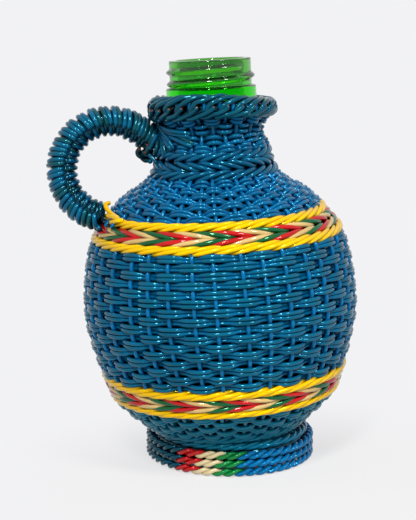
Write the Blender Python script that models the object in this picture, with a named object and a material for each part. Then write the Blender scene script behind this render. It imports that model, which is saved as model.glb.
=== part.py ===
"""Screw-neck glass bottle in a basket of insulated wire, with a wound loop handle.

The bottle is a turned glass shell. Its cover is woven from thin insulated wire in rings:
a foot of three ropes, woven panels, two banded stripes of ropes and wales, neck ropes,
a flared collar and a rolled rim. The foot stands level, and all that is above it leans
a few degrees towards the handle, as one rigid body. Metres, +Z up.
"""
import math

import bmesh
import bpy
import numpy as np
from mathutils import Matrix, Vector

# Clearance that touching pieces keep
GAP = 0.0003

# Half the length over which the direction of a curve is taken
TANGENT_REACH = 0.0006

# The wire that everything is woven from
WIRE_DIAMETER = 0.0015
STAKE_COUNT = 36
COARSE_FACET = 0.0115
FINE_FACET = 0.0052
ROW_PITCH = 0.0030

# The foot: three stacked ropes that stand level
FOOT_ROPE_DIAMETER = 0.0032
FOOT_RING_RADIUS = 0.0299
FOOT_SKIRT_WALL = 0.0012
FOOT_SKIRT_LIFT = 0.0006
FOOT_ROPE_COUNT = 3

# A rope's section has six sides, so its flats are this share of its diameter apart
ROPE_SIDES = 6
ROPE_FLATS = math.cos(math.pi / ROPE_SIDES)

# How the cover leans on its foot
LEAN_ANGLE = math.radians(3.0)
LEAN_SHIFT = 0.0006

# Outer radius of the cover at the stations where one ring of work ends and the next begins
COVER_START_RADIUS = 0.0263
LOWER_BAND_BOTTOM_RADIUS = 0.0425
LOWER_BAND_TOP_RADIUS = 0.0463
BELLY_RADIUS = 0.0509
UPPER_BAND_BOTTOM_RADIUS = 0.0468
UPPER_BAND_TOP_RADIUS = 0.0396
SHOULDER_TOP_RADIUS = 0.0242
NECK_ROPES_TOP_RADIUS = 0.0208
COLLAR_WAIST_RADIUS = 0.0187
COLLAR_TOP_RADIUS = 0.0213

# Height that each ring of work adds, from the foot upwards
COVER_START_HEIGHT = 0.0090
FOOT_WEAVE_RISE = 0.0160
LOWER_BAND_RISE = 0.0105
BODY_LOWER_RISE = 0.0215
BODY_UPPER_RISE = 0.0270
UPPER_BAND_RISE = 0.0100
SHOULDER_RISE = 0.0125
NECK_ROPES_RISE = 0.0092
COLLAR_LOWER_RISE = 0.0053
COLLAR_UPPER_RISE = 0.0040

# Thickness of the woven wall, how far its strokes stand in and out, and a rope's shoulders
COVER_WALL = 0.0039
STROKE_RELIEF = 0.0013
ROPE_SHOULDER = 0.0012
BASE_WEAVE_THICKNESS = 0.0032
NECK_ROPE_COUNT = 3

# The rolled border that closes the rim
BORDER_RADIUS = 0.0234
BORDER_HEIGHT = 0.0048
BORDER_GROOVE = 0.0008

# The glass: body wall, base, and a continuous-thread finish of the 33 mm class
GLASS_WALL = 0.0028
GLASS_BASE_WALL = 0.0040
GLASS_HEEL_DROP = 0.0012
GLASS_PUSH_UP = 0.0022
PUSH_UP_SPREAD = 0.6
PUSH_UP_EASE = 0.7
BEAD_RADIUS = 0.0164
BEAD_SHOW = 0.0035
BEAD_HIDDEN = 0.0030
NECK_RADIUS = 0.0149
NECK_BORE_RADIUS = 0.0120
FINISH_HEIGHT = 0.0099
LIP_ROUND = 0.0007

# The handle: a round loop beside the neck, wound all along its core
HANDLE_RADIUS = 0.0171
HANDLE_REACH = 0.0375
HANDLE_DROP = 0.0115
HANDLE_SWING = math.radians(8.0)
HANDLE_START_ANGLE = math.radians(50.0)
HANDLE_END_ANGLE = math.radians(246.0)
HANDLE_CORE_RADIUS = 0.0030
WRAP_CLEARANCE = 0.00046
WRAP_INNER_SQUEEZE = 0.70
TOP_ROOT_LENGTH = 0.0070
LOWER_ROOT_LENGTH = 0.0034
ROOT_CLEARANCE = 0.00055
ROOT_HIDDEN = 0.0030
TOP_ROOT_RADIUS = 0.0074
LOWER_ROOT_RADIUS = 0.0064
LOOP_POINTS = 14

# The body that trims the handle's roots follows the rim rope over this half arc
CUTTER_ARC = math.radians(35.0)
CUTTER_ARC_POINTS = 5

# Colours of the insulation, the glass and the bare copper
BLUE = (0.010, 0.130, 0.330)
TEAL = (0.008, 0.095, 0.190)
BRIGHT_BLUE = (0.006, 0.190, 0.560)
YELLOW = (0.900, 0.560, 0.010)
RED = (0.560, 0.020, 0.020)
CREAM = (0.700, 0.550, 0.270)
GREEN_WIRE = (0.010, 0.180, 0.060)
GLASS_GREEN = (0.020, 0.420, 0.030)


def clear_scene():
    """Remove what the opened file holds, so the script can be run again."""
    for thing in list(bpy.data.objects):
        bpy.data.objects.remove(thing, do_unlink=True)


def make_material(name, colour, roughness=0.3, transmission=0.0):
    """One Principled material for one sub-part."""
    material = bpy.data.materials.new(name)
    material.use_nodes = True
    shader = material.node_tree.nodes["Principled BSDF"]
    shader.inputs["Base Color"].default_value = (*colour, 1.0)
    shader.inputs["Roughness"].default_value = roughness
    shader.inputs["Metallic"].default_value = 0.0
    shader.inputs["Transmission Weight"].default_value = transmission
    return material


def add_object(name, mesh, parent, colour, roughness=0.3, transmission=0.0):
    """Put a mesh in the scene under a parent empty, smooth but for its sharp edges."""
    mesh.materials.clear()
    mesh.materials.append(make_material(name, colour, roughness, transmission))
    mesh.shade_smooth()
    mesh.set_sharp_from_angle(angle=math.radians(50.0))
    thing = bpy.data.objects.new(name, mesh)
    bpy.context.collection.objects.link(thing)
    thing.parent = parent
    return thing


def add_empty(name, location=(0.0, 0.0, 0.0), rotation=(0.0, 0.0, 0.0), parent=None):
    """An empty that carries other pieces."""
    empty = bpy.data.objects.new(name, None)
    bpy.context.collection.objects.link(empty)
    empty.location = location
    empty.rotation_euler = rotation
    empty.parent = parent
    return empty


def catmull_rom(points, steps):
    """A smooth curve through points, with the knots spaced by the square root of the chord."""
    points = [np.array(point, dtype=float) for point in points]
    points = [2 * points[0] - points[1]] + points + [2 * points[-1] - points[-2]]
    curve = []
    for before, start, end, after in zip(points, points[1:], points[2:], points[3:]):
        t1 = np.linalg.norm(start - before) ** 0.5
        t2 = t1 + np.linalg.norm(end - start) ** 0.5
        t3 = t2 + np.linalg.norm(after - end) ** 0.5
        for t in np.linspace(t1, t2, steps, endpoint=False):
            a1 = before + (start - before) * t / t1
            a2 = start + (end - start) * (t - t1) / (t2 - t1)
            a3 = end + (after - end) * (t - t2) / (t3 - t2)
            b1 = a1 + (a2 - a1) * t / t2
            b2 = a2 + (a3 - a2) * (t - t1) / (t3 - t1)
            curve.append(b1 + (b2 - b1) * (t - t1) / (t2 - t1))
    curve.append(points[-2])
    return np.array(curve)


class Track:
    """A smooth curve that is walked by its length, and past its ends in a straight line."""

    def __init__(self, points, steps=48):
        self.curve = catmull_rom(points, steps)
        chords = np.linalg.norm(np.diff(self.curve, axis=0), axis=1)
        self.along = np.concatenate([[0.0], np.cumsum(chords)])
        self.length = self.along[-1]
        self.stations = self.along[::steps]

    def point(self, s):
        inside = min(max(s, 0.0), self.length)
        place = np.array([np.interp(inside, self.along, axis) for axis in self.curve.T])
        if s != inside:
            place = place + (s - inside) * self.tangent(inside)
        return place

    def tangent(self, s):
        low = max(min(s, self.length) - TANGENT_REACH, 0.0)
        high = min(max(s, 0.0) + TANGENT_REACH, self.length)
        low_point = np.array([np.interp(low, self.along, axis) for axis in self.curve.T])
        high_point = np.array([np.interp(high, self.along, axis) for axis in self.curve.T])
        step = high_point - low_point
        return step / np.linalg.norm(step)


def cover_track():
    """The outer line of the cover, radius and height, from the foot up to the collar's top."""
    radii = [COVER_START_RADIUS, LOWER_BAND_BOTTOM_RADIUS, LOWER_BAND_TOP_RADIUS, BELLY_RADIUS,
             UPPER_BAND_BOTTOM_RADIUS, UPPER_BAND_TOP_RADIUS, SHOULDER_TOP_RADIUS,
             NECK_ROPES_TOP_RADIUS, COLLAR_WAIST_RADIUS, COLLAR_TOP_RADIUS]
    rises = [COVER_START_HEIGHT, FOOT_WEAVE_RISE, LOWER_BAND_RISE, BODY_LOWER_RISE,
             BODY_UPPER_RISE, UPPER_BAND_RISE, SHOULDER_RISE, NECK_ROPES_RISE,
             COLLAR_LOWER_RISE, COLLAR_UPPER_RISE]
    return Track(list(zip(radii, np.cumsum(rises))))


COVER = cover_track()
(COVER_START, LOWER_BAND_BOTTOM, LOWER_BAND_TOP, BELLY, UPPER_BAND_BOTTOM, UPPER_BAND_TOP,
 SHOULDER_TOP, NECK_ROPES_TOP, COLLAR_WAIST, COLLAR_TOP) = COVER.stations


def cover_point(s, depth):
    """Radius and height of the place at a length along the cover and a depth below it."""
    along_r, along_z = COVER.tangent(s)
    return COVER.point(s) + depth * np.array([-along_z, along_r])


def facet_marks():
    """Lengths at which glass and cover share their facets, so that they stay parallel."""
    marks = [COVER_START]
    for low, high in zip(COVER.stations, COVER.stations[1:]):
        longest = FINE_FACET if low >= SHOULDER_TOP - GAP else COARSE_FACET
        count = max(1, math.ceil((high - low) / longest))
        marks += list(np.linspace(low, high, count + 1)[1:])
    return marks


FACET_MARKS = facet_marks()


def backing_stations(start, end):
    """Both ends of a ring of work, and the shared facet marks between them."""
    inner = [mark for mark in FACET_MARKS if start + 2 * GAP < mark < end - 2 * GAP]
    return [start] + inner + [end]


def backing_point(s, depth):
    """The place at a depth below the cover, on the facet between the nearest two marks."""
    index = min(max(int(np.searchsorted(FACET_MARKS, s)), 1), len(FACET_MARKS) - 1)
    low, high = FACET_MARKS[index - 1:index + 1]
    share = (s - low) / (high - low)
    return (1.0 - share) * cover_point(low, depth) + share * cover_point(high, depth)


def spun_mesh(name, section, closed=True, marks=None, push=None):
    """Spin a section of (radius, height) points once round the axis, in stake-wide steps.

    A closed section makes a ring. An open one starts and ends on the axis. marks holds a
    row number for each point of the section, and push moves a marked point in or out.
    """
    mesh_data = bmesh.new()
    row_layer = mesh_data.verts.layers.int.new("row")
    verts = [mesh_data.verts.new((radius, 0.0, height)) for radius, height in section]
    for index, vert in enumerate(verts):
        vert[row_layer] = marks[index] if marks else -1
    pairs = list(zip(verts, verts[1:]))
    if closed:
        pairs.append((verts[-1], verts[0]))
    edges = [mesh_data.edges.new(pair) for pair in pairs]
    bmesh.ops.spin(mesh_data, geom=verts + edges, cent=(0, 0, 0), axis=(0, 0, 1),
                   angle=math.tau, steps=STAKE_COUNT, use_merge=True)
    bmesh.ops.remove_doubles(mesh_data, verts=mesh_data.verts, dist=0.00001)
    bmesh.ops.recalc_face_normals(mesh_data, faces=mesh_data.faces)
    if push:
        for vert in mesh_data.verts:
            if vert[row_layer] >= 0:
                turn = math.atan2(vert.co.y, vert.co.x) / math.tau * STAKE_COUNT
                vert.co += push(round(turn), vert[row_layer], vert.co)
    mesh = bpy.data.meshes.new(name)
    mesh_data.to_mesh(mesh)
    mesh_data.free()
    return mesh


def back_line(start, end):
    """Inner side of a woven ring, walked from its end back to its start."""
    return [backing_point(s, COVER_WALL) for s in reversed(backing_stations(start, end))]


def row_marks(start, end):
    """Length along the cover of the middle of each row of a woven panel."""
    rows = max(2, round((end - start) / ROW_PITCH))
    return [start + (end - start) * (row + 0.5) / rows for row in range(rows)]


def woven_ring(name, start, end, parent, colour):
    """A woven panel: every crossing of row and stake stands out or lies in, by turns."""
    start += GAP / 2
    end -= GAP / 2
    rows = row_marks(start, end)
    section = [cover_point(start, STROKE_RELIEF)]
    section += [cover_point(s, 0.0) for s in rows]
    section.append(cover_point(end, STROKE_RELIEF))
    back = back_line(start, end)
    marks = [-1] + list(range(len(rows))) + [-1] * (len(back) + 1)

    def push(column, row, place):
        if (column + row) % 2 == 0:
            return Vector((0.0, 0.0, 0.0))
        along_r, along_z = COVER.tangent(rows[row])
        outward = Vector((place.x, place.y, 0.0)).normalized()
        return STROKE_RELIEF * (outward * -along_z + Vector((0.0, 0.0, along_r)))

    mesh = spun_mesh(name, section + back, marks=marks, push=push)
    return add_object(name, mesh, parent, colour)


def rope_ring(name, start, end, parent, colour):
    """One rope or wale of a band: a rounded crest outside, seated on the glass inside."""
    start += GAP / 2
    end -= GAP / 2
    middle = (start + end) / 2
    section = [cover_point(start, ROPE_SHOULDER), cover_point(middle, 0.0),
               cover_point(end, ROPE_SHOULDER)]
    mesh = spun_mesh(name, section + back_line(start, end))
    return add_object(name, mesh, parent, colour)


def round_ring(name, centre_radius, centre_height, diameter, parent, colour):
    """A rope of six-sided section, with a flat on top and a flat underneath to rest on."""
    section = []
    for index in range(ROPE_SIDES):
        angle = math.tau * index / ROPE_SIDES
        section.append((centre_radius + diameter / 2 * math.cos(angle),
                        centre_height + diameter / 2 * math.sin(angle)))
    mesh = spun_mesh(name, section)
    return add_object(name, mesh, parent, colour)


def build_foot(parent):
    """Three ropes, stacked flat on flat."""
    pitch = FOOT_ROPE_DIAMETER * ROPE_FLATS + GAP
    for index in range(FOOT_ROPE_COUNT):
        height = pitch * (index + 0.5) - GAP / 2
        name = f"foot_rope_{index + 1}"
        round_ring(name, FOOT_RING_RADIUS, height, FOOT_ROPE_DIAMETER, parent, BRIGHT_BLUE)


def leaned(point):
    """Where a place on the leaning bottle lies in the level frame of the foot."""
    turned = Matrix.Rotation(-LEAN_ANGLE, 3, "Y") @ Vector(point)
    return turned - Vector((LEAN_SHIFT, 0.0, 0.0))


def build_foot_skirt(parent):
    """Stake ends turned down inside the ropes: level below, and leaning where the cover starts."""
    rope_inside = FOOT_RING_RADIUS - FOOT_ROPE_DIAMETER / 2
    low_outer = rope_inside - GAP
    top_outer = cover_point(COVER_START - GAP, 0.0)
    top_inner = cover_point(COVER_START - GAP, FOOT_SKIRT_WALL)
    section = [(low_outer - FOOT_SKIRT_WALL, FOOT_SKIRT_LIFT), (low_outer, FOOT_SKIRT_LIFT),
               tuple(top_outer), tuple(top_inner)]
    skirt = bmesh.new()
    skirt.from_mesh(spun_mesh("foot_skirt", section))
    middle = (FOOT_SKIRT_LIFT + top_outer[1]) / 2
    for vert in skirt.verts:
        if vert.co.z > middle:
            vert.co = leaned(vert.co)
    mesh = bpy.data.meshes["foot_skirt"]
    skirt.to_mesh(mesh)
    skirt.free()
    add_object("foot_skirt", mesh, parent, TEAL)


def build_cover(parent):
    """Woven panels, banded stripes and neck ropes, from the foot to the collar."""
    woven_ring("foot_weave", COVER_START, LOWER_BAND_BOTTOM, parent, TEAL)
    woven_ring("body_weave", LOWER_BAND_TOP, UPPER_BAND_BOTTOM, parent, BLUE)
    woven_ring("shoulder_weave", UPPER_BAND_TOP, SHOULDER_TOP, parent, BLUE)
    woven_ring("collar_weave", NECK_ROPES_TOP, COLLAR_TOP, parent, BLUE)

    band_rows = [("bottom_rope", YELLOW), ("lower_wale", RED), ("upper_wale", GREEN_WIRE),
                 ("top_rope", YELLOW)]
    bands = [("lower_band", LOWER_BAND_BOTTOM, LOWER_BAND_TOP),
             ("upper_band", UPPER_BAND_BOTTOM, UPPER_BAND_TOP)]
    for band, low, high in bands:
        edges = np.linspace(low, high, len(band_rows) + 1)
        for (row, colour), start, end in zip(band_rows, edges, edges[1:]):
            rope_ring(f"{band}_{row}", start, end, parent, colour)

    edges = np.linspace(SHOULDER_TOP, NECK_ROPES_TOP, NECK_ROPE_COUNT + 1)
    for index, (start, end) in enumerate(zip(edges, edges[1:])):
        rope_ring(f"neck_rope_{index + 1}", start, end, parent, TEAL)


def rim_rope_centre():
    """Radius and height of the rope that lies on the flared collar."""
    radius = WIRE_DIAMETER
    return cover_point(COLLAR_TOP + GAP + radius, radius)


def border_heights():
    """Lowest and highest point of the rolled border."""
    low = rim_rope_centre()[1] + WIRE_DIAMETER * ROPE_FLATS + GAP
    return low, low + BORDER_HEIGHT


def build_rim(parent):
    """The rope under the rim, and the border whose wires roll inwards over it."""
    radius, height = rim_rope_centre()
    round_ring("rim_rope", radius, height, 2 * WIRE_DIAMETER, parent, TEAL)
    low, high = border_heights()
    inner = BEAD_RADIUS + GAP
    middle = (inner + BORDER_RADIUS) / 2
    half_width = (BORDER_RADIUS - inner) / 2
    half_height = (high - low) / 2
    sides = 8
    groove_side = 1
    section = []
    for index in range(sides):
        angle = math.tau * index / sides
        reach = 1.0 - (BORDER_GROOVE / half_width if index == groove_side else 0.0)
        section.append((middle + reach * half_width * math.cos(angle),
                        (low + high) / 2 + reach * half_height * math.sin(angle)))
    mesh = spun_mesh("rim_border", section)
    add_object("rim_border", mesh, parent, TEAL)


def glass_bottom():
    """Height of the glass's underside, on the bottle's own axis line."""
    return cover_point(COVER_START, COVER_WALL + GAP)[1] - GLASS_HEEL_DROP


def build_base_weave(parent):
    """The woven disc that the glass stands on, closed by the foot weave's lower edge."""
    top = glass_bottom() - GAP
    outer_low = cover_point(COVER_START - GAP, FOOT_SKIRT_WALL + GAP)
    outer_high = cover_point(COVER_START - GAP, COVER_WALL)
    share = (top - outer_low[1]) / (outer_high[1] - outer_low[1])
    outer_top = outer_low + share * (outer_high - outer_low)
    bottom = top - BASE_WEAVE_THICKNESS
    section = [(0.0, bottom), (outer_low[0] - GAP, bottom), tuple(outer_low),
               tuple(outer_top), (0.0, top)]
    mesh = spun_mesh("base_weave", section, closed=False)
    add_object("base_weave", mesh, parent, TEAL)


def glass_heights():
    """Heights of the bead's foot and top, and of the lip, on the bottle's axis."""
    border_top = border_heights()[1]
    return border_top - BEAD_HIDDEN, border_top + BEAD_SHOW, border_top + BEAD_SHOW + FINISH_HEIGHT


def build_glass(parent):
    """The bottle: heel, body and neck parallel to the cover, then bead, finish and lip."""
    bead_foot, bead_top, lip_top = glass_heights()
    bottom = glass_bottom()
    marks = backing_stations(COVER_START, COLLAR_WAIST)
    side = [cover_point(s, COVER_WALL + GAP) for s in marks]
    neck_below_bead = side[-1][0]
    heel_radius = side[0][0] - GLASS_HEEL_DROP
    step = BEAD_RADIUS - neck_below_bead
    outer = [(0.0, bottom + GLASS_PUSH_UP),
             (heel_radius * PUSH_UP_SPREAD, bottom + GLASS_PUSH_UP * PUSH_UP_EASE),
             (heel_radius - GLASS_PUSH_UP, bottom), (heel_radius, bottom)]
    outer += [tuple(point) for point in side]
    outer += [(neck_below_bead, bead_foot - step), (BEAD_RADIUS, bead_foot),
              (BEAD_RADIUS, bead_top - step / 3), (BEAD_RADIUS - step / 3, bead_top),
              (NECK_RADIUS, bead_top), (NECK_RADIUS, lip_top - LIP_ROUND),
              (NECK_RADIUS - LIP_ROUND, lip_top)]
    inner = [(NECK_BORE_RADIUS + LIP_ROUND, lip_top), (NECK_BORE_RADIUS, lip_top - LIP_ROUND)]
    depth = COVER_WALL + GAP + GLASS_WALL
    wall_side = [cover_point(s, depth) for s in reversed(marks[2:-2:2] + marks[-1:])]
    inner += [(NECK_BORE_RADIUS, wall_side[1][1])]
    inner += [tuple(point) for point in wall_side if point[0] > NECK_BORE_RADIUS + GAP]
    floor = bottom + GLASS_BASE_WALL
    inner = [(radius, max(height, floor)) for radius, height in inner]
    inner += [(heel_radius - GLASS_WALL, floor), (0.0, floor + GLASS_PUSH_UP)]
    mesh = spun_mesh("glass_bottle", outer + inner, closed=False)
    add_object("glass_bottle", mesh, parent, GLASS_GREEN, roughness=0.05, transmission=1.0)


def handle_track():
    """Middle line of the handle, from the collar, round the loop, to the upper band."""
    top_radius, top_height = cover_point(NECK_ROPES_TOP + WIRE_DIAMETER, 0.0)
    rope_middle = UPPER_BAND_TOP - (UPPER_BAND_TOP - UPPER_BAND_BOTTOM) / 8
    low_radius, low_height = cover_point(rope_middle, 0.0)
    centre_height = COVER.point(COLLAR_WAIST)[1] - HANDLE_DROP
    swing_depth = low_radius * math.sin(HANDLE_SWING)
    points = [(-top_radius, 0.0, top_height)]
    steps = 9
    for index in range(steps + 1):
        share = index / steps
        angle = HANDLE_START_ANGLE + share * (HANDLE_END_ANGLE - HANDLE_START_ANGLE)
        points.append((-HANDLE_REACH + HANDLE_RADIUS * math.cos(angle), -swing_depth * share,
                       centre_height + HANDLE_RADIUS * math.sin(angle)))
    points.append((-low_radius * math.cos(HANDLE_SWING), -swing_depth, low_height))
    return Track(points, steps=24)


def track_frame(track, s):
    """Place, forward, side and outward direction of a handle section."""
    place = Vector(track.point(s))
    forward = Vector(track.tangent(s))
    side = Vector((0.0, 1.0, 0.0))
    side = (side - forward * side.dot(forward)).normalized()
    outward = side.cross(forward)
    centre = Vector((-HANDLE_REACH, 0.0, COVER.point(COLLAR_WAIST)[1] - HANDLE_DROP))
    if outward.dot(place - centre) < 0.0:
        outward = -outward
    return place, forward, side, outward


def square_ended(start, end, steps):
    """Lengths from start to end, with a close second place at each end to set its cap square."""
    close = GAP / 2
    inner = list(np.linspace(start, end, steps))[1:-1]
    return [start, start + close] + inner + [end - close, end]


def tube_mesh(name, points, radii, bevel_resolution=1):
    """A tube along points, by Blender's own curve with a bevel and filled caps."""
    curve = bpy.data.curves.new(name + "_path", "CURVE")
    curve.dimensions = "3D"
    curve.bevel_depth = 1.0
    curve.bevel_resolution = bevel_resolution
    curve.use_fill_caps = True
    spline = curve.splines.new("POLY")
    spline.points.add(len(points) - 1)
    for spline_point, place, radius in zip(spline.points, points, radii):
        spline_point.co = (*place, 1.0)
        spline_point.radius = radius
    holder = bpy.data.objects.new(name + "_path", curve)
    bpy.context.collection.objects.link(holder)
    bpy.context.view_layer.update()
    evaluated = holder.evaluated_get(bpy.context.evaluated_depsgraph_get())
    mesh = bpy.data.meshes.new_from_object(evaluated)
    mesh.name = name
    bpy.data.objects.remove(holder, do_unlink=True)
    bpy.data.curves.remove(curve)
    tube = bmesh.new()
    tube.from_mesh(mesh)
    bmesh.ops.remove_doubles(tube, verts=tube.verts, dist=0.00001)
    tube.to_mesh(mesh)
    tube.free()
    return mesh


def wrap_pitch():
    """Advance per loop that leaves the wires their clearance on the inside of the bend."""
    inner_width = 2 * WIRE_DIAMETER * WRAP_INNER_SQUEEZE
    centre = HANDLE_CORE_RADIUS + GAP + WIRE_DIAMETER
    return (inner_width + WRAP_CLEARANCE) * HANDLE_RADIUS / (HANDLE_RADIUS - centre)


def wrap_points(track):
    """Points and radii of the winding: one tube, each loop as wide as its pair of wires."""
    start = TOP_ROOT_LENGTH + ROOT_CLEARANCE + WIRE_DIAMETER
    end = track.length - LOWER_ROOT_LENGTH - ROOT_CLEARANCE - WIRE_DIAMETER
    loops = int((end - start) / wrap_pitch())
    count = loops * LOOP_POINTS + 1
    points = []
    radii = []
    for index in range(count):
        turn = math.tau * index / LOOP_POINTS
        place, _, side, outward = track_frame(track, start + (end - start) * index / (count - 1))
        lean_out = math.cos(turn)
        squeeze = WRAP_INNER_SQUEEZE + (1.0 - WRAP_INNER_SQUEEZE) * (1.0 + lean_out) / 2
        radius = WIRE_DIAMETER * squeeze
        reach = HANDLE_CORE_RADIUS + GAP + radius
        reach /= math.cos(math.pi / LOOP_POINTS)
        points.append(place + reach * (outward * lean_out + side * math.sin(turn)))
        radii.append(radius)
    return points, radii, loops


def least_gap(points, radii):
    """Smallest clear distance between one loop of the winding and any later loop."""
    places = np.array([tuple(point) for point in points])
    radii = np.array(radii)
    least = 1.0
    for index in range(len(places)):
        later = index + LOOP_POINTS // 2
        if later < len(places):
            apart = np.linalg.norm(places[later:] - places[index], axis=1)
            least = min(least, float(np.min(apart - radii[later:] - radii[index])))
    return least


def cover_cutter(parent):
    """The whole outer body of cover and rim, one clearance larger, to trim the handle's roots."""
    cutter = bmesh.new()
    low, high = border_heights()
    marks = list(np.arange(UPPER_BAND_BOTTOM, NECK_ROPES_TOP, ROW_PITCH / 3))
    marks += [NECK_ROPES_TOP] + row_marks(NECK_ROPES_TOP + GAP / 2, COLLAR_TOP - GAP / 2)
    line = [tuple(cover_point(s, -GAP)) for s in marks]
    rope_radius, rope_height = rim_rope_centre()
    reach = WIRE_DIAMETER + GAP
    line += [(rope_radius + reach * math.cos(angle), rope_height + reach * math.sin(angle))
             for angle in np.linspace(-CUTTER_ARC, CUTTER_ARC, CUTTER_ARC_POINTS)]
    line += [(BORDER_RADIUS - 2 * GAP, low - GAP), (BORDER_RADIUS + GAP, (low + high) / 2),
             (BORDER_RADIUS - 2 * GAP, high + GAP)]
    line = [(0.0, line[0][1])] + line + [(0.0, line[-1][1])]
    verts = [cutter.verts.new((radius, 0.0, height)) for radius, height in line]
    edges = [cutter.edges.new(pair) for pair in zip(verts, verts[1:])]
    bmesh.ops.spin(cutter, geom=verts + edges, cent=(0, 0, 0), axis=(0, 0, 1),
                   angle=math.tau, steps=3 * STAKE_COUNT, use_merge=True)
    bmesh.ops.remove_doubles(cutter, verts=cutter.verts, dist=0.00001)
    bmesh.ops.recalc_face_normals(cutter, faces=cutter.faces)
    mesh = bpy.data.meshes.new("cover_cutter")
    cutter.to_mesh(mesh)
    cutter.free()
    thing = bpy.data.objects.new("cover_cutter", mesh)
    bpy.context.collection.objects.link(thing)
    thing.parent = parent
    thing.hide_render = True
    thing.display_type = "WIRE"
    return thing


def root_lashing(name, track, start, end, start_radius, end_radius, cutter, parent, colour):
    """A root of the handle, which swells towards the cover and is trimmed to its surface."""
    lengths = square_ended(start, end, 5)
    points = [track.point(s) for s in lengths]
    radii = np.interp(lengths, [start, end], [start_radius, end_radius])
    mesh = tube_mesh(name, points, radii, bevel_resolution=3)
    thing = add_object(name, mesh, parent, colour)
    cut = thing.modifiers.new("trim_to_cover", "BOOLEAN")
    cut.operation = "DIFFERENCE"
    cut.solver = "EXACT"
    cut.object = cutter
    return thing


def build_handle(parent):
    """Core, winding and the two lashed roots."""
    track = handle_track()
    core_start = TOP_ROOT_LENGTH + ROOT_CLEARANCE
    core_end = track.length - LOWER_ROOT_LENGTH - ROOT_CLEARANCE
    lengths = square_ended(core_start, core_end, 22)
    points = [track.point(s) for s in lengths]
    mesh = tube_mesh("handle_core", points, [HANDLE_CORE_RADIUS] * len(points), 2)
    add_object("handle_core", mesh, parent, TEAL)

    points, radii, loops = wrap_points(track)
    mesh = tube_mesh("handle_wrap", points, radii)
    add_object("handle_wrap", mesh, parent, TEAL)
    gap = least_gap(points, radii)
    print(f"handle winding: {loops} loops, least gap to itself {gap * 1000:.2f} mm")

    cutter = cover_cutter(parent)
    wound_radius = HANDLE_CORE_RADIUS + 2 * WIRE_DIAMETER
    root_lashing("handle_top_lashing", track, -ROOT_HIDDEN, TOP_ROOT_LENGTH, TOP_ROOT_RADIUS,
                 wound_radius - GAP, cutter, parent, TEAL)
    root_lashing("handle_lower_lashing", track, track.length - LOWER_ROOT_LENGTH,
                 track.length + ROOT_HIDDEN, wound_radius - GAP, LOWER_ROOT_RADIUS, cutter, parent,
                 TEAL)


def centre_on_base(root):
    """Move the whole model so that its box stands on the origin, centred over it."""
    bpy.context.view_layer.update()
    depsgraph = bpy.context.evaluated_depsgraph_get()
    corners = []
    for thing in bpy.data.objects:
        if thing.type == "MESH" and not thing.hide_render:
            evaluated = thing.evaluated_get(depsgraph)
            mesh = evaluated.to_mesh()
            corners += [evaluated.matrix_world @ vert.co for vert in mesh.vertices]
            evaluated.to_mesh_clear()
    places = np.array([tuple(corner) for corner in corners])
    low = places.min(axis=0)
    high = places.max(axis=0)
    root.location = (-(low[0] + high[0]) / 2, -(low[1] + high[1]) / 2, -low[2])
    print("size in mm", np.round((high - low) * 1000, 2), "shift in mm",
          np.round(np.array(root.location) * 1000, 3))
    bpy.context.view_layer.update()


def main():
    clear_scene()
    root = add_empty("bottle_origin")
    bottle = add_empty("bottle_axis", location=(-LEAN_SHIFT, 0.0, 0.0),
                       rotation=(0.0, -LEAN_ANGLE, 0.0), parent=root)
    build_foot(root)
    build_foot_skirt(root)
    build_base_weave(bottle)
    build_glass(bottle)
    build_cover(bottle)
    build_rim(bottle)
    build_handle(bottle)
    centre_on_base(root)


main()
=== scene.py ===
# %% [markdown]
# # A glass bottle in a basket of insulated wire
# The real object is a screw-neck bottle, woven over by hand with plastic-insulated wire.
# Each wire is a curve with a round bevel that is then made a mesh, so that every crossing
# is really there and catches its own highlight. The CAD solids say where everything goes,
# and the dressed model has to stay inside their box.

# %% Load the frame
import math

import bmesh
import bpy
import numpy as np
from mathutils import Matrix, Vector


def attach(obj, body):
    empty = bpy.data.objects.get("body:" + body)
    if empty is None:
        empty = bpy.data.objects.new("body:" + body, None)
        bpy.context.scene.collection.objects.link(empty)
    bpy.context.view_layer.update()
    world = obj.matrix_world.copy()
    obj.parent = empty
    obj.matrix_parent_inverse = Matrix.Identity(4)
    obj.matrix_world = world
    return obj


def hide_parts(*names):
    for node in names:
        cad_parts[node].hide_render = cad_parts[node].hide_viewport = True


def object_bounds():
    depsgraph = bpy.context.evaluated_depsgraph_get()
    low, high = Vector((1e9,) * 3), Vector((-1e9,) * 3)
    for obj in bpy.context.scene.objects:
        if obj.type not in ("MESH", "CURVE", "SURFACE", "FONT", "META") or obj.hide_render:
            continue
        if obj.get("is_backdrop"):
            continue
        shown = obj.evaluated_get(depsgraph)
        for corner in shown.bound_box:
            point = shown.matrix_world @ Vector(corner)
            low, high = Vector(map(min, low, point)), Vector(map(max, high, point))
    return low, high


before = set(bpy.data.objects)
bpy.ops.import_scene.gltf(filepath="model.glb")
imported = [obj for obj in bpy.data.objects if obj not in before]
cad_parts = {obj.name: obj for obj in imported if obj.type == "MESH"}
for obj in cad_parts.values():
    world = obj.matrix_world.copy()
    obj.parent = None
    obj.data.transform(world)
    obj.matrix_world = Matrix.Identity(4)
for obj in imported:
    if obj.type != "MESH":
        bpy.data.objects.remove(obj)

cad_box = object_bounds()
print("CAD box in mm", [[round(c * 1000, 1) for c in corner] for corner in cad_box])

# %% [markdown]
# ## The camera
# The photograph was taken a little from above with a long lens. The place and the tilt
# come from the ellipses of the lip, the foot and the widest row. The camera is set first,
# so that each piece can be judged as it is made.

# %% Camera
def new_object(name, data):
    """An object in the scene that shows some data."""
    made = bpy.data.objects.new(name, data)
    bpy.context.scene.collection.objects.link(made)
    return made


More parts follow.
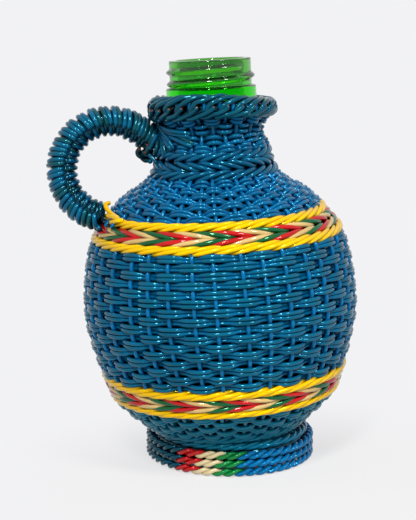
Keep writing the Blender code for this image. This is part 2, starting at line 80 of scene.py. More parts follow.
camera_data = bpy.data.cameras.new("photo_camera")
camera_data.sensor_width = 36.0
camera_data.lens = 96.85
camera = new_object("photo_camera", camera_data)
camera.location = (0.001743, -0.5087, 0.1637)
camera.rotation_euler = (math.radians(79.93), 0.0, 0.0)
bpy.context.scene.camera = camera
bpy.context.scene.view_settings.view_transform = "Standard"
print("camera at", tuple(round(c, 3) for c in camera.location))

# %% [markdown]
# ## The line of the cover
# From the side, the cover is one smooth outline. Ten stations mark where one ring of work
# ends and the next begins, and a Catmull-Rom curve joins them. A wire is then placed by its
# length along this line, its depth below it and its angle round the bottle, because weaving
# is easy to describe in those numbers and hard in x, y, z.

# %% Stations of the cover and the curve through them
COVER_STATIONS = [
    (0.0263, 0.0090), (0.0425, 0.0250), (0.0463, 0.0355), (0.0509, 0.0570), (0.0468, 0.0840),
    (0.0396, 0.0940), (0.0242, 0.1065), (0.0208, 0.1157), (0.0187, 0.1210), (0.0213, 0.1250)]
STATION_STEPS = 40
LOWER_BAND_DROP = 0.0008


def smooth_line(points, steps):
    """A centripetal Catmull-Rom curve through points."""
    points = np.array(points, float)
    points = np.vstack([2 * points[0] - points[1], points, 2 * points[-1] - points[-2]])
    line = []
    for before, start, end, after in zip(points, points[1:], points[2:], points[3:]):
        t1 = np.linalg.norm(start - before) ** 0.5
        t2 = t1 + np.linalg.norm(end - start) ** 0.5
        t3 = t2 + np.linalg.norm(after - end) ** 0.5
        for t in np.linspace(t1, t2, steps, endpoint=False):
            a1 = before + (start - before) * t / t1
            a2 = start + (end - start) * (t - t1) / (t2 - t1)
            a3 = end + (after - end) * (t - t2) / (t3 - t2)
            b1 = a1 + (a2 - a1) * t / t2
            b2 = a2 + (a3 - a2) * (t - t1) / (t3 - t1)
            line.append(b1 + (b2 - b1) * (t - t1) / (t2 - t1))
    line.append(points[-2])
    return np.array(line)


def lengths_along(line):
    """Length along a line at each of its points."""
    return np.concatenate([[0.0], np.cumsum(np.linalg.norm(np.diff(line, axis=0), axis=1))])


cover_line = smooth_line(COVER_STATIONS, STATION_STEPS)
cover_along = lengths_along(cover_line)
(LOWER_BAND_BOTTOM, LOWER_BAND_TOP, BELLY, UPPER_BAND_BOTTOM, UPPER_BAND_TOP, SHOULDER_TOP,
 NECK_ROPES_TOP, COLLAR_WAIST, COLLAR_TOP) = cover_along[STATION_STEPS::STATION_STEPS]
LOWER_BAND_BOTTOM -= LOWER_BAND_DROP
LOWER_BAND_TOP -= LOWER_BAND_DROP
print(f"the cover is {COLLAR_TOP * 1000:.1f} mm long from the foot to the collar's top")

# %% [markdown]
# The foot stands level, and all above it leans three degrees towards the handle, as in the
# photograph, so one matrix leans the upright bottle. Handwork isn't regular: the shoulder is
# fuller than the curve, the neck sits to the right, and the rim is higher in front.

# %% From length, depth and angle to a place
CAD_SHIFT = 0.009905
LEAN = (Matrix.Translation((CAD_SHIFT - 0.0006, 0.0, 0.0))
        @ Matrix.Rotation(math.radians(-3.0), 4, "Y"))
LEAN_ARRAY = np.array(LEAN)
SHOULDER_BULGE = 0.0009
NECK_SHIFT = 0.0007
RIM_FOOT = 0.1257
TANGENT_REACH = 0.0006
FRONT = -math.pi / 2


def as_arrays(*values):
    """Values as float arrays of one shape."""
    return np.broadcast_arrays(*[np.asarray(value, float) for value in values])


def unit(arrows):
    """Arrows of length 1, one row each."""
    return arrows / np.linalg.norm(arrows, axis=-1, keepdims=True)


def climb(value, start, span):
    """0 up to a start, then evenly up to 1 over a span."""
    return np.clip((value - start) / span, 0.0, 1.0)


def line_at(line, along, s):
    """Coordinates of a line at lengths s along it, one array for each axis."""
    return np.array([np.interp(s, along, axis) for axis in line.T])


def moved(places, matrix):
    """Places, one row each, after a 4 by 4 matrix."""
    ones = np.ones(places.shape[:-1] + (1,))
    return (np.concatenate([places, ones], axis=-1) @ matrix.T)[..., :3]


def cover_rz(s, depth):
    """Radius and height at lengths along the cover and depths below it, as arrays."""
    s, depth = as_arrays(s, depth)
    inside = np.clip(s, TANGENT_REACH, COLLAR_TOP - TANGENT_REACH)
    low = line_at(cover_line, cover_along, inside - TANGENT_REACH)
    high = line_at(cover_line, cover_along, inside + TANGENT_REACH)
    along = (high - low) / np.linalg.norm(high - low, axis=0)
    place = (low + high) / 2 + (s - inside) * along
    share = climb(s, UPPER_BAND_TOP, SHOULDER_TOP - UPPER_BAND_TOP)
    fuller = SHOULDER_BULGE * np.sin(math.pi * share ** 0.7) ** 2
    return place + (depth - fuller) * np.array([-along[1], along[0]])


def rim_lift(angle, z):
    """How much higher the rim stands than an even one, at its foot and at its top."""
    front = np.clip(-np.sin(angle), 0.0, 1.0) ** 2
    right = 1.0 + np.cos(angle)
    low = 0.0012 * front + 0.0003 * right
    high = 0.0021 * front - 0.0010 * right
    return climb(z, 0.1160, 0.0097) * (low + (high - low) * climb(z, RIM_FOOT, 0.0080))


def neck_shift(z):
    """How far the neck stands to the right of where the lean alone would put it."""
    return NECK_SHIFT * climb(z, 0.104, 0.014)


def leaned(r, angle, z):
    """World places of radius, angle and height on the leaning bottle, one row each."""
    r, angle, z = as_arrays(r, angle, z)
    local = np.stack([r * np.cos(angle) + neck_shift(z), r * np.sin(angle),
                      z + rim_lift(angle, z)], axis=-1)
    return moved(local, LEAN_ARRAY)


def on_cover(s, depth, angle):
    """World places at lengths, depths and angles on the cover."""
    r, z = cover_rz(s, depth)
    return leaned(r, angle, z)


def on_foot(r, angle, z):
    """World places on the level foot."""
    r, angle, z = as_arrays(r, angle, z)
    return np.stack([r * np.cos(angle) + CAD_SHIFT, r * np.sin(angle), z], axis=-1)


print("belly front at", on_cover(BELLY, 0.0, FRONT).round(4))

# %% [markdown]
# ## How a wire is made
# Blender can render a bevelled curve as it is, but a mesh can also carry an attribute, and
# we want one: how far each point lies below the crowns of the work. All the wires of one
# ring go into one curve and become one mesh.

# %% Wires into one mesh
WIRE = 0.00154


def wire_mesh(name, runs, sides):
    """One mesh of round tubes. A run is (places, radius, colour slot, closed)."""
    curve = bpy.data.curves.new(name, "CURVE")
    curve.dimensions = "3D"
    curve.bevel_depth = 1.0
    curve.bevel_resolution = (sides - 4) // 2
    curve.use_fill_caps = True
    for _ in range(max(run[2] for run in runs) + 1):
        curve.materials.append(None)
    for places, radius, colour_slot, closed in runs:
        spline = curve.splines.new("POLY")
        spline.points.add(len(places) - 1)
        spline.points.foreach_set("co", np.column_stack(
            [places, np.ones(len(places))]).astype(np.float32).ravel())
        spline.points.foreach_set("radius", [radius] * len(places))
        spline.use_cyclic_u = closed
        spline.material_index = colour_slot
        spline.use_smooth = True
    holder = new_object(name + "_curve", curve)
    bpy.context.view_layer.update()
    mesh = bpy.data.meshes.new_from_object(
        holder.evaluated_get(bpy.context.evaluated_depsgraph_get()))
    mesh.name = name
    bpy.data.objects.remove(holder, do_unlink=True)
    bpy.data.curves.remove(curve)
    work = bmesh.new()
    work.from_mesh(mesh)
    bmesh.ops.remove_doubles(work, verts=work.verts, dist=0.000002)
    work.to_mesh(mesh)
    work.free()
    mesh.shade_smooth()
    return mesh


def add_piece(name, mesh, materials, slot, *nodes):
    """Put a finished mesh in the scene: it rides on the body and stands for CAD nodes."""
    slots = np.empty(len(mesh.polygons), np.int32)
    mesh.polygons.foreach_get("material_index", slots)
    mesh.materials.clear()
    for material in materials:
        mesh.materials.append(material)
    mesh.polygons.foreach_set("material_index", slots)
    piece = new_object(name, mesh)
    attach(piece, "root")
    if nodes:
        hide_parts(*nodes)
    mesh.calc_loop_triangles()
    print(f"{name}: {len(mesh.loop_triangles)} triangles")


print(f"a wire is {WIRE * 1000:.2f} mm thick")

# %% [markdown]
# The attribute is 1 on the crowns, which hands and dust reach, and 0 in the hollows, where
# the finish paints shade. Most pieces measure it from the line of the cover. The rim, the foot
# and the handle bring a measure of their own, and pieces that lie quite inside get one number.

# %% Crowns
CROWN_DEPTH = 0.0024


def mesh_places(mesh):
    """All vertex places of a mesh, one row each."""
    flat = np.empty(len(mesh.vertices) * 3, np.float32)
    mesh.vertices.foreach_get("co", flat)
    return flat.reshape(-1, 3).astype(float)


def upright_places(mesh):
    """All vertex places of a mesh as they would be on the upright bottle."""
    return moved(mesh_places(mesh), np.linalg.inv(LEAN_ARRAY))


def distances(places, line):
    """Distance of each place from the nearest point of a line."""
    nearest = np.full(len(places), 1.0)
    for point in line[::2]:
        nearest = np.minimum(nearest, np.linalg.norm(places - point, axis=1))
    return nearest


def cover_crown(mesh):
    """Crown values from each vertex's distance to the cover's outer line."""
    x, y, z = upright_places(mesh).T
    return 1.0 - distances(np.column_stack([np.hypot(x, y), z]), cover_line) / CROWN_DEPTH


def set_crown(mesh, crown):
    """Store the crown values, for the finish to read."""
    attribute = mesh.attributes.new("crown", "FLOAT", "POINT")
    values = np.broadcast_to(np.clip(crown, 0.0, 1.0), (len(mesh.vertices),))
    attribute.data.foreach_set("value", values.astype(np.float32))


def add_wires(name, runs, finishes, slot, *nodes, crown=cover_crown, sides=8):
    """Make a piece of runs of wire. crown is a measure of the mesh, or one number."""
    mesh = wire_mesh(name, runs, sides)
    set_crown(mesh, crown(mesh) if callable(crown) else crown)
    add_piece(name, mesh, [FINISH[finish] for finish in finishes.split()], slot, *nodes)


print(f"crowns fade over {CROWN_DEPTH * 1000:.1f} mm")

# %% [markdown]
# ## Finishes
# The insulation is soft glossy plastic. Grime on the crowns, slow drifts from row to row
# and shade in the hollows keep it from looking flat. Every colour wants them, so they are a
# node group that puts out a mask, a roughness, a bump height and a tone. Each material
# mixes its own two colours by the mask and multiplies them by the tone.

# %% Nodes in few words
def feed(tree, node, inputs):
    """Link each input of a node to a socket, or set it to a value."""
    for socket, value in inputs.items():
        if isinstance(value, bpy.types.NodeSocket):
            tree.links.new(value, node.inputs[socket])
        else:
            node.inputs[socket].default_value = value


def add_node(tree, kind, inputs=None, **settings):
    """A shader node with its settings made and its inputs fed."""
    node = tree.nodes.new("ShaderNode" + kind)
    for setting, value in settings.items():
        setattr(node, setting, value)
    feed(tree, node, inputs or {})
    return node


def math_node(tree, operation, *values, clamp=False):
    """The output of a Math node."""
    return add_node(tree, "Math", dict(enumerate(values)), operation=operation,
                    use_clamp=clamp).outputs[0]


def noise(tree, vector, scale, detail=2.0):
    """The factor of a noise texture on a vector."""
    return add_node(tree, "TexNoise", {"Vector": vector, "Scale": scale,
                                       "Detail": detail}).outputs["Fac"]


def object_place(tree):
    """The place of a shaded point in its object."""
    return add_node(tree, "TexCoord").outputs["Object"]


print("helpers for nodes are ready")

# %% [markdown]
# The grime lies on the crowns in patches. A noise that is squeezed in height changes from
# row to row and gives the rows their own tones, and a fine one makes the surface uneven.

# %% The wear group
def build_wear_group():
    """A group that reads the crowns and four noises, for every colour of insulation."""
    group = bpy.data.node_groups.new("insulation_wear", "ShaderNodeTree")
    for way, sockets in (("INPUT", ("Grime", "Drift", "HollowShade")),
                         ("OUTPUT", ("Mask", "Roughness", "Height", "Tone"))):
        for socket in sockets:
            group.interface.new_socket(socket, in_out=way, socket_type="NodeSocketFloat")
    given = group.nodes.new("NodeGroupInput").outputs

    def blend(value, factor, offset, clamp=False):
        return math_node(group, "MULTIPLY_ADD", value, factor, offset, clamp=clamp)

    def times(first, second):
        return math_node(group, "MULTIPLY", first, second)

    place = object_place(group)
    rows = add_node(group, "VectorMath", {0: place, 1: (70.0, 70.0, 420.0)},
                    operation="MULTIPLY").outputs[0]
    crown = add_node(group, "Attribute", attribute_name="crown").outputs["Fac"]
    slow = noise(group, place, 55.0)
    row_tone = noise(group, rows, 1.0, 1.0)
    fine = noise(group, place, 900.0, 3.0)
    smeared = blend(noise(group, place, 260.0), 1.0, 0.25, clamp=True)
    raised = blend(crown, 1.9, -0.45, clamp=True)
    patchy = blend(slow, 2.2, -0.45, clamp=True)
    half = times(times(raised, times(smeared, given["Grime"])), 0.55)
    mask = blend(patchy, half, half, clamp=True)
    drift = math_node(group, "SUBTRACT", math_node(group, "ADD", slow, times(row_tone, 1.4)), 1.2)
    # Painted shade: the tone gets darker where the crown is low, in the hollows.
    hollow_shade = times(blend(crown, -1.9, 1.25, clamp=True), given["HollowShade"])
    feed(group, group.nodes.new("NodeGroupOutput"), {
        "Mask": mask, "Height": fine, "Roughness": blend(fine, 0.06, blend(mask, 0.07, 0.04)),
        "Tone": times(blend(drift, given["Drift"], 1.0),
                      math_node(group, "SUBTRACT", 1.0, hollow_shade))})
    return group


INSULATION_WEAR = build_wear_group()
print("wear group has", len(INSULATION_WEAR.nodes), "nodes")

# %% [markdown]
# A wire gets darker where it turns away, because its neighbour shades it there. A group
# can't hold Layer Weight here, so each material has that step itself. The highlights are
# tinted like the plastic, and only the brightest burn out to white.

# %% Colours of insulation
EDGE_SHADE = 0.5


def linear(red, green, blue):
    """Scene-linear colour of an 8-bit sRGB colour."""
    values = []
    for channel in (red, green, blue):
        share = channel / 255.0
        values.append(share / 12.92 if share <= 0.04045 else ((share + 0.055) / 1.055) ** 2.4)
    return (*values, 1.0)


def new_material(name):
    """A material, its node tree and its Principled shader."""
    material = bpy.data.materials.new(name)
    material.use_nodes = True
    return material, material.node_tree, material.node_tree.nodes["Principled BSDF"]


# hollow sets how strongly painted shade darkens the hollows.
def insulation(name, clean, grimy, grime, drift=0.7, hollow=0.0, tint=(0.14, 0.75, 1.0)):
    """Glossy insulation: grimy on the crowns, with painted shade in the hollows and where it
    turns away.
    """
    material, tree, shader = new_material(name)
    wear = add_node(tree, "Group", {"Grime": grime, "Drift": drift, "HollowShade": hollow},
                    node_tree=INSULATION_WEAR).outputs
    mixed = add_node(tree, "Mix", {"A": linear(*clean), "B": linear(*grimy),
                                   "Factor": wear["Mask"]}, data_type="RGBA").outputs["Result"]
    facing = add_node(tree, "LayerWeight", {"Blend": 0.5}).outputs["Facing"]
    turned = math_node(tree, "MULTIPLY_ADD", math_node(tree, "POWER", facing, 2.0),
                       -EDGE_SHADE, 1.0)
    tone = math_node(tree, "MULTIPLY", wear["Tone"], turned)
    colour = add_node(tree, "VectorMath", {0: mixed, "Scale": tone}, operation="SCALE")
    bump = add_node(tree, "Bump", {"Strength": 0.10, "Distance": 0.0002,
                                   "Height": wear["Height"]})
    feed(tree, shader, {"Base Color": colour.outputs[0], "Roughness": wear["Roughness"],
                        "Normal": bump.outputs["Normal"], "Specular IOR Level": 0.65,
                        "Specular Tint": (*tint, 1.0)})
    return material


HANDLE_TINT, CREAM_TINT, GREEN_TINT = (0.18, 0.78, 1.0), (1.0, 0.95, 0.8), (0.4, 1.0, 0.6)
# The hollow column is the strength of the painted shade in the hollows.
FINISHES = {  # clean colour, grimy colour, grime, drift, hollow, tint of the highlight
    "blue_insulation": ((0, 84, 124), (0, 74, 92), 0.8),
    "shoulder_insulation": ((0, 86, 138), (0, 80, 114), 0.6),
    "stake_insulation": ((0, 92, 148), (0, 88, 126), 0.5),
    "collar_insulation": ((0, 82, 134), (0, 74, 100), 0.8, 0.7, 0.35),
    "neck_insulation": ((0, 76, 122), (0, 66, 86), 0.8, 0.7, 0.75),
    "teal_insulation": ((0, 96, 130), (0, 88, 106), 0.8),
    "handle_insulation": ((0, 82, 126), (0, 74, 96), 0.9, 0.7, 0.8, HANDLE_TINT),
    "handle_dark_insulation": ((0, 66, 86), (4, 54, 58), 0.9, 0.7, 0.8, HANDLE_TINT),
    "rim_insulation": ((0, 66, 92), (0, 54, 66), 0.9, 0.7, 0.7),
    "yellow_insulation": ((244, 202, 0), (226, 158, 0), 0.6, 0.15, 0.9, (1.0, 0.85, 0.1)),
    "red_insulation": ((196, 4, 8), (150, 10, 12), 0.6, 0.4, 0.0, (1.0, 0.5, 0.5)),
    "cream_insulation": ((212, 182, 118), (184, 150, 88), 0.6, 0.3, 0.0, CREAM_TINT),
    "green_insulation": ((0, 82, 38), (0, 60, 30), 0.6, 0.4, 0.0, GREEN_TINT),
    "foot_blue_insulation": ((0, 94, 150), (0, 84, 130), 0.4),
    "foot_dark_insulation": ((4, 54, 76), (8, 50, 64), 0.6),
    "foot_cream_insulation": ((216, 200, 158), (190, 170, 122), 0.6, 0.3, 0.0, CREAM_TINT),
    "foot_green_insulation": ((0, 116, 50), (0, 94, 42), 0.4, 0.7, 0.0, GREEN_TINT),
    "copper_end": ((104, 52, 36), (66, 34, 24), 1.0, 0.8, 0.0, (1.0, 0.7, 0.5)),
    # The last finish is near-black painted shade, for the layer behind the weave, the handle's
    # core and dark wires at the roots.
    "inner_wire": ((2, 12, 18), (6, 10, 12), 0.5)}
FINISH = {name.removesuffix("_insulation"): insulation(name, *numbers)
          for name, numbers in FINISHES.items()}
print(len(FINISH), "finishes of wire")

# %% [markdown]
# ## Woven panels
# In plain weave a row of doubled wire passes over one upright stake and behind the next,
# and the row above does the opposite. A row stays flat in front of a stake and dips quickly
# beside it, and the stakes bend the other way. By hand no stake stands quite at its place,
# so each has a small shift of its own, and the rows follow it.

# %% Rows and stakes of a panel
BODY_STAKES = 36
STAKE_DEPTH = 0.00192
WEAVE_SWING = 0.00102
STAKE_SWING = 0.00036
STAKE_TWIST = 0.03
STAKE_HIDDEN = 0.0012
FLATNESS = 1.6
ROW_DRIFT = 0.00005
WIRE_DRIFT = 0.000025
KNOCK = 0.00006
wobble = np.random.RandomState(7)


def slow_wobble(angle, size):
    """A small smooth drift round the ring, different at each call."""
    total = np.zeros_like(angle)
    for turns in (1, 2, 3, 5, 8):
        strength = wobble.normal()
        wave = np.sin(turns * angle + wobble.uniform(0, math.tau))
        total += strength * wave / turns ** 0.7
    return size * total


def stake_angles(stakes, size=0.010):
    """Angle of each stake, a little off its even place."""
    return math.tau * np.arange(stakes) / stakes + wobble.normal(0.0, size, stakes)


def at_turn(turn, angles):
    """Angles at places counted in stakes, on both sides of a whole round."""
    stakes = len(angles)
    whole = np.concatenate([angles - math.tau, angles, angles + math.tau])
    return np.interp(turn, np.arange(-stakes, 2 * stakes), whole)


def stake_drift(s, start, end):
    """The stakes drift a little round the bottle as they go up."""
    return -STAKE_TWIST * ((s - start) / (end - start) - 0.5)


def weft_runs(start, end, rows, angles, steps=8, spread=0.00077, wire=WIRE, rough=1.6):
    """Doubled wires of every row of a panel, as closed runs."""
    runs = []
    stakes = len(angles)
    turn = np.arange(stakes * steps) / steps
    angle = at_turn(turn, angles)
    for row in range(rows):
        middle = start + (end - start) * (row + 0.5) / rows
        drift = slow_wobble(angle, ROW_DRIFT * rough)
        over = np.cos(math.pi * (turn + row))
        over = np.tanh(FLATNESS * over) / math.tanh(FLATNESS)
        for side in (-1, 1):
            width = spread * (0.94 + 0.07 * over)
            s = middle + side * width + drift + slow_wobble(angle, WIRE_DRIFT * rough)
            knocks = np.abs(wobble.normal(0.0, KNOCK * rough, stakes + 1))
            knocks[-1] = knocks[0]
            knocked = np.interp(turn, np.arange(stakes + 1), knocks)
            places = on_cover(s, STAKE_DEPTH - WEAVE_SWING * over + knocked,
                              angle + stake_drift(s, start, end))
            runs.append((places, wire / 2, 0, True))
    return runs


def stake_runs(start, end, rows, angles, wire=WIRE, sink=0.0):
    """Single upright stakes of a panel, with both ends hidden under the next ring."""
    runs = []
    s = np.linspace(start - STAKE_HIDDEN, end + STAKE_HIDDEN, rows * 6 + 1)
    row = (s - start) / ((end - start) / rows) - 0.5
    for stake, angle in enumerate(angles):
        depth = STAKE_DEPTH + sink + STAKE_SWING * np.cos(math.pi * (row + stake))
        places = on_cover(s, depth, angle + stake_drift(s, start, end))
        runs.append((places, wire / 2, 0, False))
    return runs


print(BODY_STAKES, "stakes, and rows that swing", WEAVE_SWING * 1000, "mm in and out")

# %% [markdown]
# The body panel has sixteen rows between the two striped bands.

# %% Body panel
BODY_PANEL = (LOWER_BAND_TOP, UPPER_BAND_BOTTOM, 16)
body_angles = stake_angles(BODY_STAKES)
add_wires("body_weft", weft_runs(*BODY_PANEL, body_angles), "blue", "blue_wire", "body_weave")
add_wires("body_stakes", stake_runs(*BODY_PANEL, body_angles), "stake", "blue_wire")

# %% [markdown]
# The shoulder draws the same stakes together, so its strokes get shorter towards the neck.
# The foot panel runs inwards under the lower band in the same way.

# %% Shoulder and foot panels
SHOULDER_PANEL = (UPPER_BAND_TOP, SHOULDER_TOP, 7)
FOOT_PANEL = (0.0062, LOWER_BAND_BOTTOM, 5)
shoulder_angles = body_angles + wobble.normal(0.0, 0.012, BODY_STAKES)
add_wires("shoulder_weft", weft_runs(*SHOULDER_PANEL, shoulder_angles, spread=0.00076,
                                     wire=0.0015, rough=2.0),
          "shoulder", "blue_wire", "shoulder_weave")
add_wires("shoulder_stakes", stake_runs(*SHOULDER_PANEL, shoulder_angles, wire=0.0014),
          "stake", "blue_wire")
add_wires("foot_weft", weft_runs(*FOOT_PANEL, body_angles, wire=0.0015, rough=1.4),
          "teal", "teal_wire", "foot_weave")
add_wires("foot_stakes", stake_runs(0.0, LOWER_BAND_BOTTOM, 7, body_angles),
          "teal", "teal_wire")

# %% [markdown]
# Some stakes were cut off inside the neck ropes, so the collar has fewer. Its rows are
# bolder, with lens-shaped strokes.

# %% Collar panel
COLLAR_PANEL = (NECK_ROPES_TOP, COLLAR_TOP, 4)
collar_angles = stake_angles(28, 0.02)
add_wires("collar_weft", weft_runs(*COLLAR_PANEL, collar_angles, steps=10, spread=0.00076,
                                   wire=0.00165, rough=1.8),
          "collar", "blue_wire", "collar_weave")
add_wires("collar_stakes", stake_runs(*COLLAR_PANEL, collar_angles, sink=0.00045),
          "collar", "blue_wire")

# %% [markdown]
# Between the crossings the photograph shows black gaps and a hint of dark wire, never the
# glass. A thin near-black layer of painted shade, ridged like a winding, lies just outside
# the glass. It is a closed outline, spun round the axis. A spin can turn a shape inside out,
# so its normals are worked out again.

# %% Inner winding, a sheet of painted shade
WINDING_DEPTH = 0.00345
WINDING_INSIDE = 0.0040
RIDGE = 0.0002


def spun(points, closed, segments):
    """A bmesh of a line of (radius, height) points that is spun round the z axis."""
    work = bmesh.new()
    verts = [work.verts.new((r, 0.0, z)) for r, z in points]
    following = verts[1:] + (verts[:1] if closed else [])
    edges = [work.edges.new(pair) for pair in zip(verts, following)]
    bmesh.ops.spin(work, geom=verts + edges, cent=(0, 0, 0), axis=(0, 0, 1), angle=math.tau,
                   steps=segments, use_merge=True)
    bmesh.ops.remove_doubles(work, verts=work.verts, dist=0.00001)
    bmesh.ops.recalc_face_normals(work, faces=work.faces)
    return work


def to_mesh(work, name):
    """A mesh of a bmesh, which is freed."""
    mesh = bpy.data.meshes.new(name)
    work.to_mesh(mesh)
    work.free()
    return mesh


def add_shade_winding(name, outer, inner, place=leaned):
    """A near-black shell of painted shade between an outer and an inner line of (radius, height)
    points.
    """
    work = spun(list(outer) + list(inner)[::-1], True, 96)
    for vert in work.verts:
        x, y, z = vert.co
        vert.co = place(math.hypot(x, y), math.atan2(y, x), z)
    mesh = to_mesh(work, name)
    mesh.shade_smooth()
    set_crown(mesh, 0.0)
    add_piece(name, mesh, [FINISH["inner_wire"]], "teal_wire")


along = np.linspace(0.0002, COLLAR_TOP + 0.0012, 230)
ridges = WINDING_DEPTH + RIDGE * np.cos(np.arange(len(along)) * math.pi)
add_shade_winding("inner_shade_winding", [cover_rz(s, depth) for s, depth in zip(along, ridges)],
            [cover_rz(s, WINDING_INSIDE) for s in along[::6]])

# %% [markdown]
# ## Ropes and wales
# A rope is three or four wires twisted round each other, and a wale is three single wires
# that take turns in front. Both are one twist with other numbers: how many strokes go round
# the bottle, how high and deep it swings, and which way it slants. A ply stays in front for
# longer than behind, which makes long, straight strokes.

# %% The twist
ROPE_DRIFT = 0.00003
ROPE_SINK = 0.00002


def rope_runs(s_middle, strokes, plies, height, thickness, wire, hand=1, linger=0.3,
              slots=None, steps=12, depth=0.0, rough=1.0, place=on_cover):
    """Runs of a twisted ring. linger makes a ply stay in front for longer."""
    runs = []
    half_height = (height - wire) / 2
    half_depth = (thickness - wire) / 2
    angle = np.linspace(0.0, math.tau, strokes * steps // plies * plies, endpoint=False)
    for ply in range(plies):
        phase = hand * (strokes / plies * angle) + math.tau * ply / plies
        phase = phase - linger * np.sin(phase)
        s = s_middle + half_height * np.sin(phase) + slow_wobble(angle, ROPE_DRIFT * rough)
        deep = depth + wire / 2 + half_depth * (1.0 - np.cos(phase))
        deep = deep + np.abs(slow_wobble(angle, ROPE_SINK * rough))
        runs.append((place(s, deep, angle), wire / 2, slots[ply] if slots else 0, True))
    return runs


print(f"a ply drifts by about {ROPE_DRIFT * 1000:.2f} mm")

# %% [markdown]
# Each striped band is a yellow rope, two three-coloured wales that slant against each
# other, and a second yellow rope. The same colours meet at the middle line and make a row
# of arrowheads. The upper band opens a little at the right.

# %% Striped bands
BAND_RISE = 0.0011
BAND_ROPE = {"strokes": 40, "plies": 4, "thickness": 0.0042, "wire": 0.00168, "steps": 10,
             "rough": 3.0}
BAND_WALE = {"strokes": 39, "plies": 3, "thickness": 0.0034, "wire": 0.00178, "steps": 9,
             "depth": 0.0004}
BAND_ROWS = [  # name, numbers, what it adds to its share of the height, hand, colour slots
    ("bottom_rope", BAND_ROPE, 0.0011, 1, None), ("lower_wale", BAND_WALE, 0.0004, 1, [0, 1, 2]),
    ("upper_wale", BAND_WALE, 0.0004, -1, [0, 2, 1]), ("top_rope", BAND_ROPE, 0.0011, 1, None)]


def on_risen_band(s, depth, angle):
    """World places on the upper band, whose top rises at the right."""
    share = climb(s, UPPER_BAND_BOTTOM, UPPER_BAND_TOP - UPPER_BAND_BOTTOM)
    return on_cover(s + BAND_RISE * share * np.clip(np.cos(angle), 0.0, 1.0) ** 4, depth, angle)


for band, start, end, place in (("lower_band", LOWER_BAND_BOTTOM, LOWER_BAND_TOP, on_cover),
                                ("upper_band", UPPER_BAND_BOTTOM, UPPER_BAND_TOP, on_risen_band)):
    pitch = (end - start) / 4
    for index, (row, numbers, overlap, hand, slots) in enumerate(BAND_ROWS):
        runs = rope_runs(start + pitch * (index + 0.5), height=pitch + overlap, hand=hand,
                         slots=slots, place=place, **numbers)
        looks = ("red green cream", "striped_wire") if slots else ("yellow", "yellow_wire")
        add_wires(f"{band}_{row}_wires", runs, *looks, f"{band}_{row}")

# %% [markdown]
# Three blue ropes close the shoulder. The middle one slants the other way.

# %% Neck ropes
NECK_ROPE = {"strokes": 24, "plies": 3, "thickness": 0.0042, "wire": 0.00176, "linger": 0.34,
             "steps": 15, "rough": 3.0}
NECK_ROPE_OVERLAP = 0.0009
neck_pitch = (NECK_ROPES_TOP - SHOULDER_TOP) / 3
for index, hand in enumerate((1, -1, 1)):
    runs = rope_runs(SHOULDER_TOP + neck_pitch * (index + 0.5), hand=hand,
                     height=neck_pitch + NECK_ROPE_OVERLAP, **NECK_ROPE)
    add_wires(f"neck_rope_{index + 1}_wires", runs, "neck", "teal_wire",
              f"neck_rope_{index + 1}")

# %% [markdown]
# ## The foot
# Three ropes of single wires are stacked under the bottle. In two places the blue strokes
# are swapped for two red, two cream and two green ones. A stroke is a short wire whose ends
# are hidden at the back of the rope, where the next colour starts.

# %% Foot ropes
FOOT_RING_RADIUS = 0.0299
FOOT_ROPE_RADIUS = 0.0016
FOOT_ROPE_HEIGHT = 2 * FOOT_ROPE_RADIUS * math.cos(math.pi / 6)
FOOT_ROPE_RISE = FOOT_ROPE_HEIGHT + 0.0003
FOOT_ROPE_SWING = 0.00157
FOOT_WIRE = 0.00162
TABLE_GAP = 0.0002
FIRST_STROKE = math.radians(-129.0)
ROPE_LEAD = 0.16
INSERT = [2, 2, 3, 3, 4, 4]
# From the second insert round the back to the left, the blue strokes are a darker blue.
STROKE_COLOURS = INSERT + [0] * 13 + INSERT + [1] * 23
FOOT_FINISHES = "foot_blue foot_dark red foot_cream foot_green"


def foot_rope_runs(index):
    """Each stroke of a foot rope is a short run, from behind, over the crest, to behind."""
    runs = []
    middle = FOOT_ROPE_RISE * index + FOOT_ROPE_HEIGHT / 2 + TABLE_GAP
    step = math.tau / len(STROKE_COLOURS)
    offset = FIRST_STROKE + step * (0.5 + ROPE_LEAD * (index - 1))
    phase = np.linspace(-math.pi, math.pi, 21)
    bent = phase - 0.1 * np.sin(phase)
    r = FOOT_RING_RADIUS + (FOOT_ROPE_RADIUS - FOOT_WIRE / 2) * np.cos(bent)
    z = middle + (FOOT_ROPE_SWING - FOOT_WIRE / 2) * np.sin(bent)
    for stroke, colour in enumerate(STROKE_COLOURS):
        crest = offset + step * (stroke + wobble.normal() * 0.05)
        angle = crest + phase / math.tau * 2.1 * step
        runs.append((on_foot(r, angle, z), FOOT_WIRE / 2, colour, False))
    return runs


def foot_crown(mesh):
    """Crown values from how far each vertex stands out of the ring."""
    x, y, z = mesh_places(mesh).T
    return (np.hypot(x - CAD_SHIFT, y) - FOOT_RING_RADIUS) / FOOT_ROPE_RADIUS


for index in range(3):
    add_wires(f"foot_rope_{index + 1}_wires", foot_rope_runs(index), FOOT_FINISHES, "foot_wire",
              f"foot_rope_{index + 1}", crown=foot_crown)

# %% [markdown]
# Slanting ropes fill the hollow between the foot panel and the foot. The upper ones lean
# with the bottle and the lower one is level, so more of them shows to the right.

# %% Tucked ropes
TUCKED_RADIUS = 0.0292
TUCKED_ROPE = {"strokes": 36, "plies": 3, "steps": 11, "rough": 2.0}


def beside_foot(s, depth, angle):
    """World places on the level tucked rope; s is its height here."""
    return on_foot(TUCKED_RADIUS - depth, angle, s)


tucked = []
for middle in (0.0044, 0.0014):
    tucked += rope_runs(middle, height=0.0034, thickness=0.0034, wire=0.0018, depth=0.0002,
                        **TUCKED_ROPE)
tucked += rope_runs(0.0104, height=0.0032, thickness=0.0032, wire=0.0017, place=beside_foot,
                    **TUCKED_ROPE)
add_wires("tucked_ropes", tucked, "teal", "teal_wire")
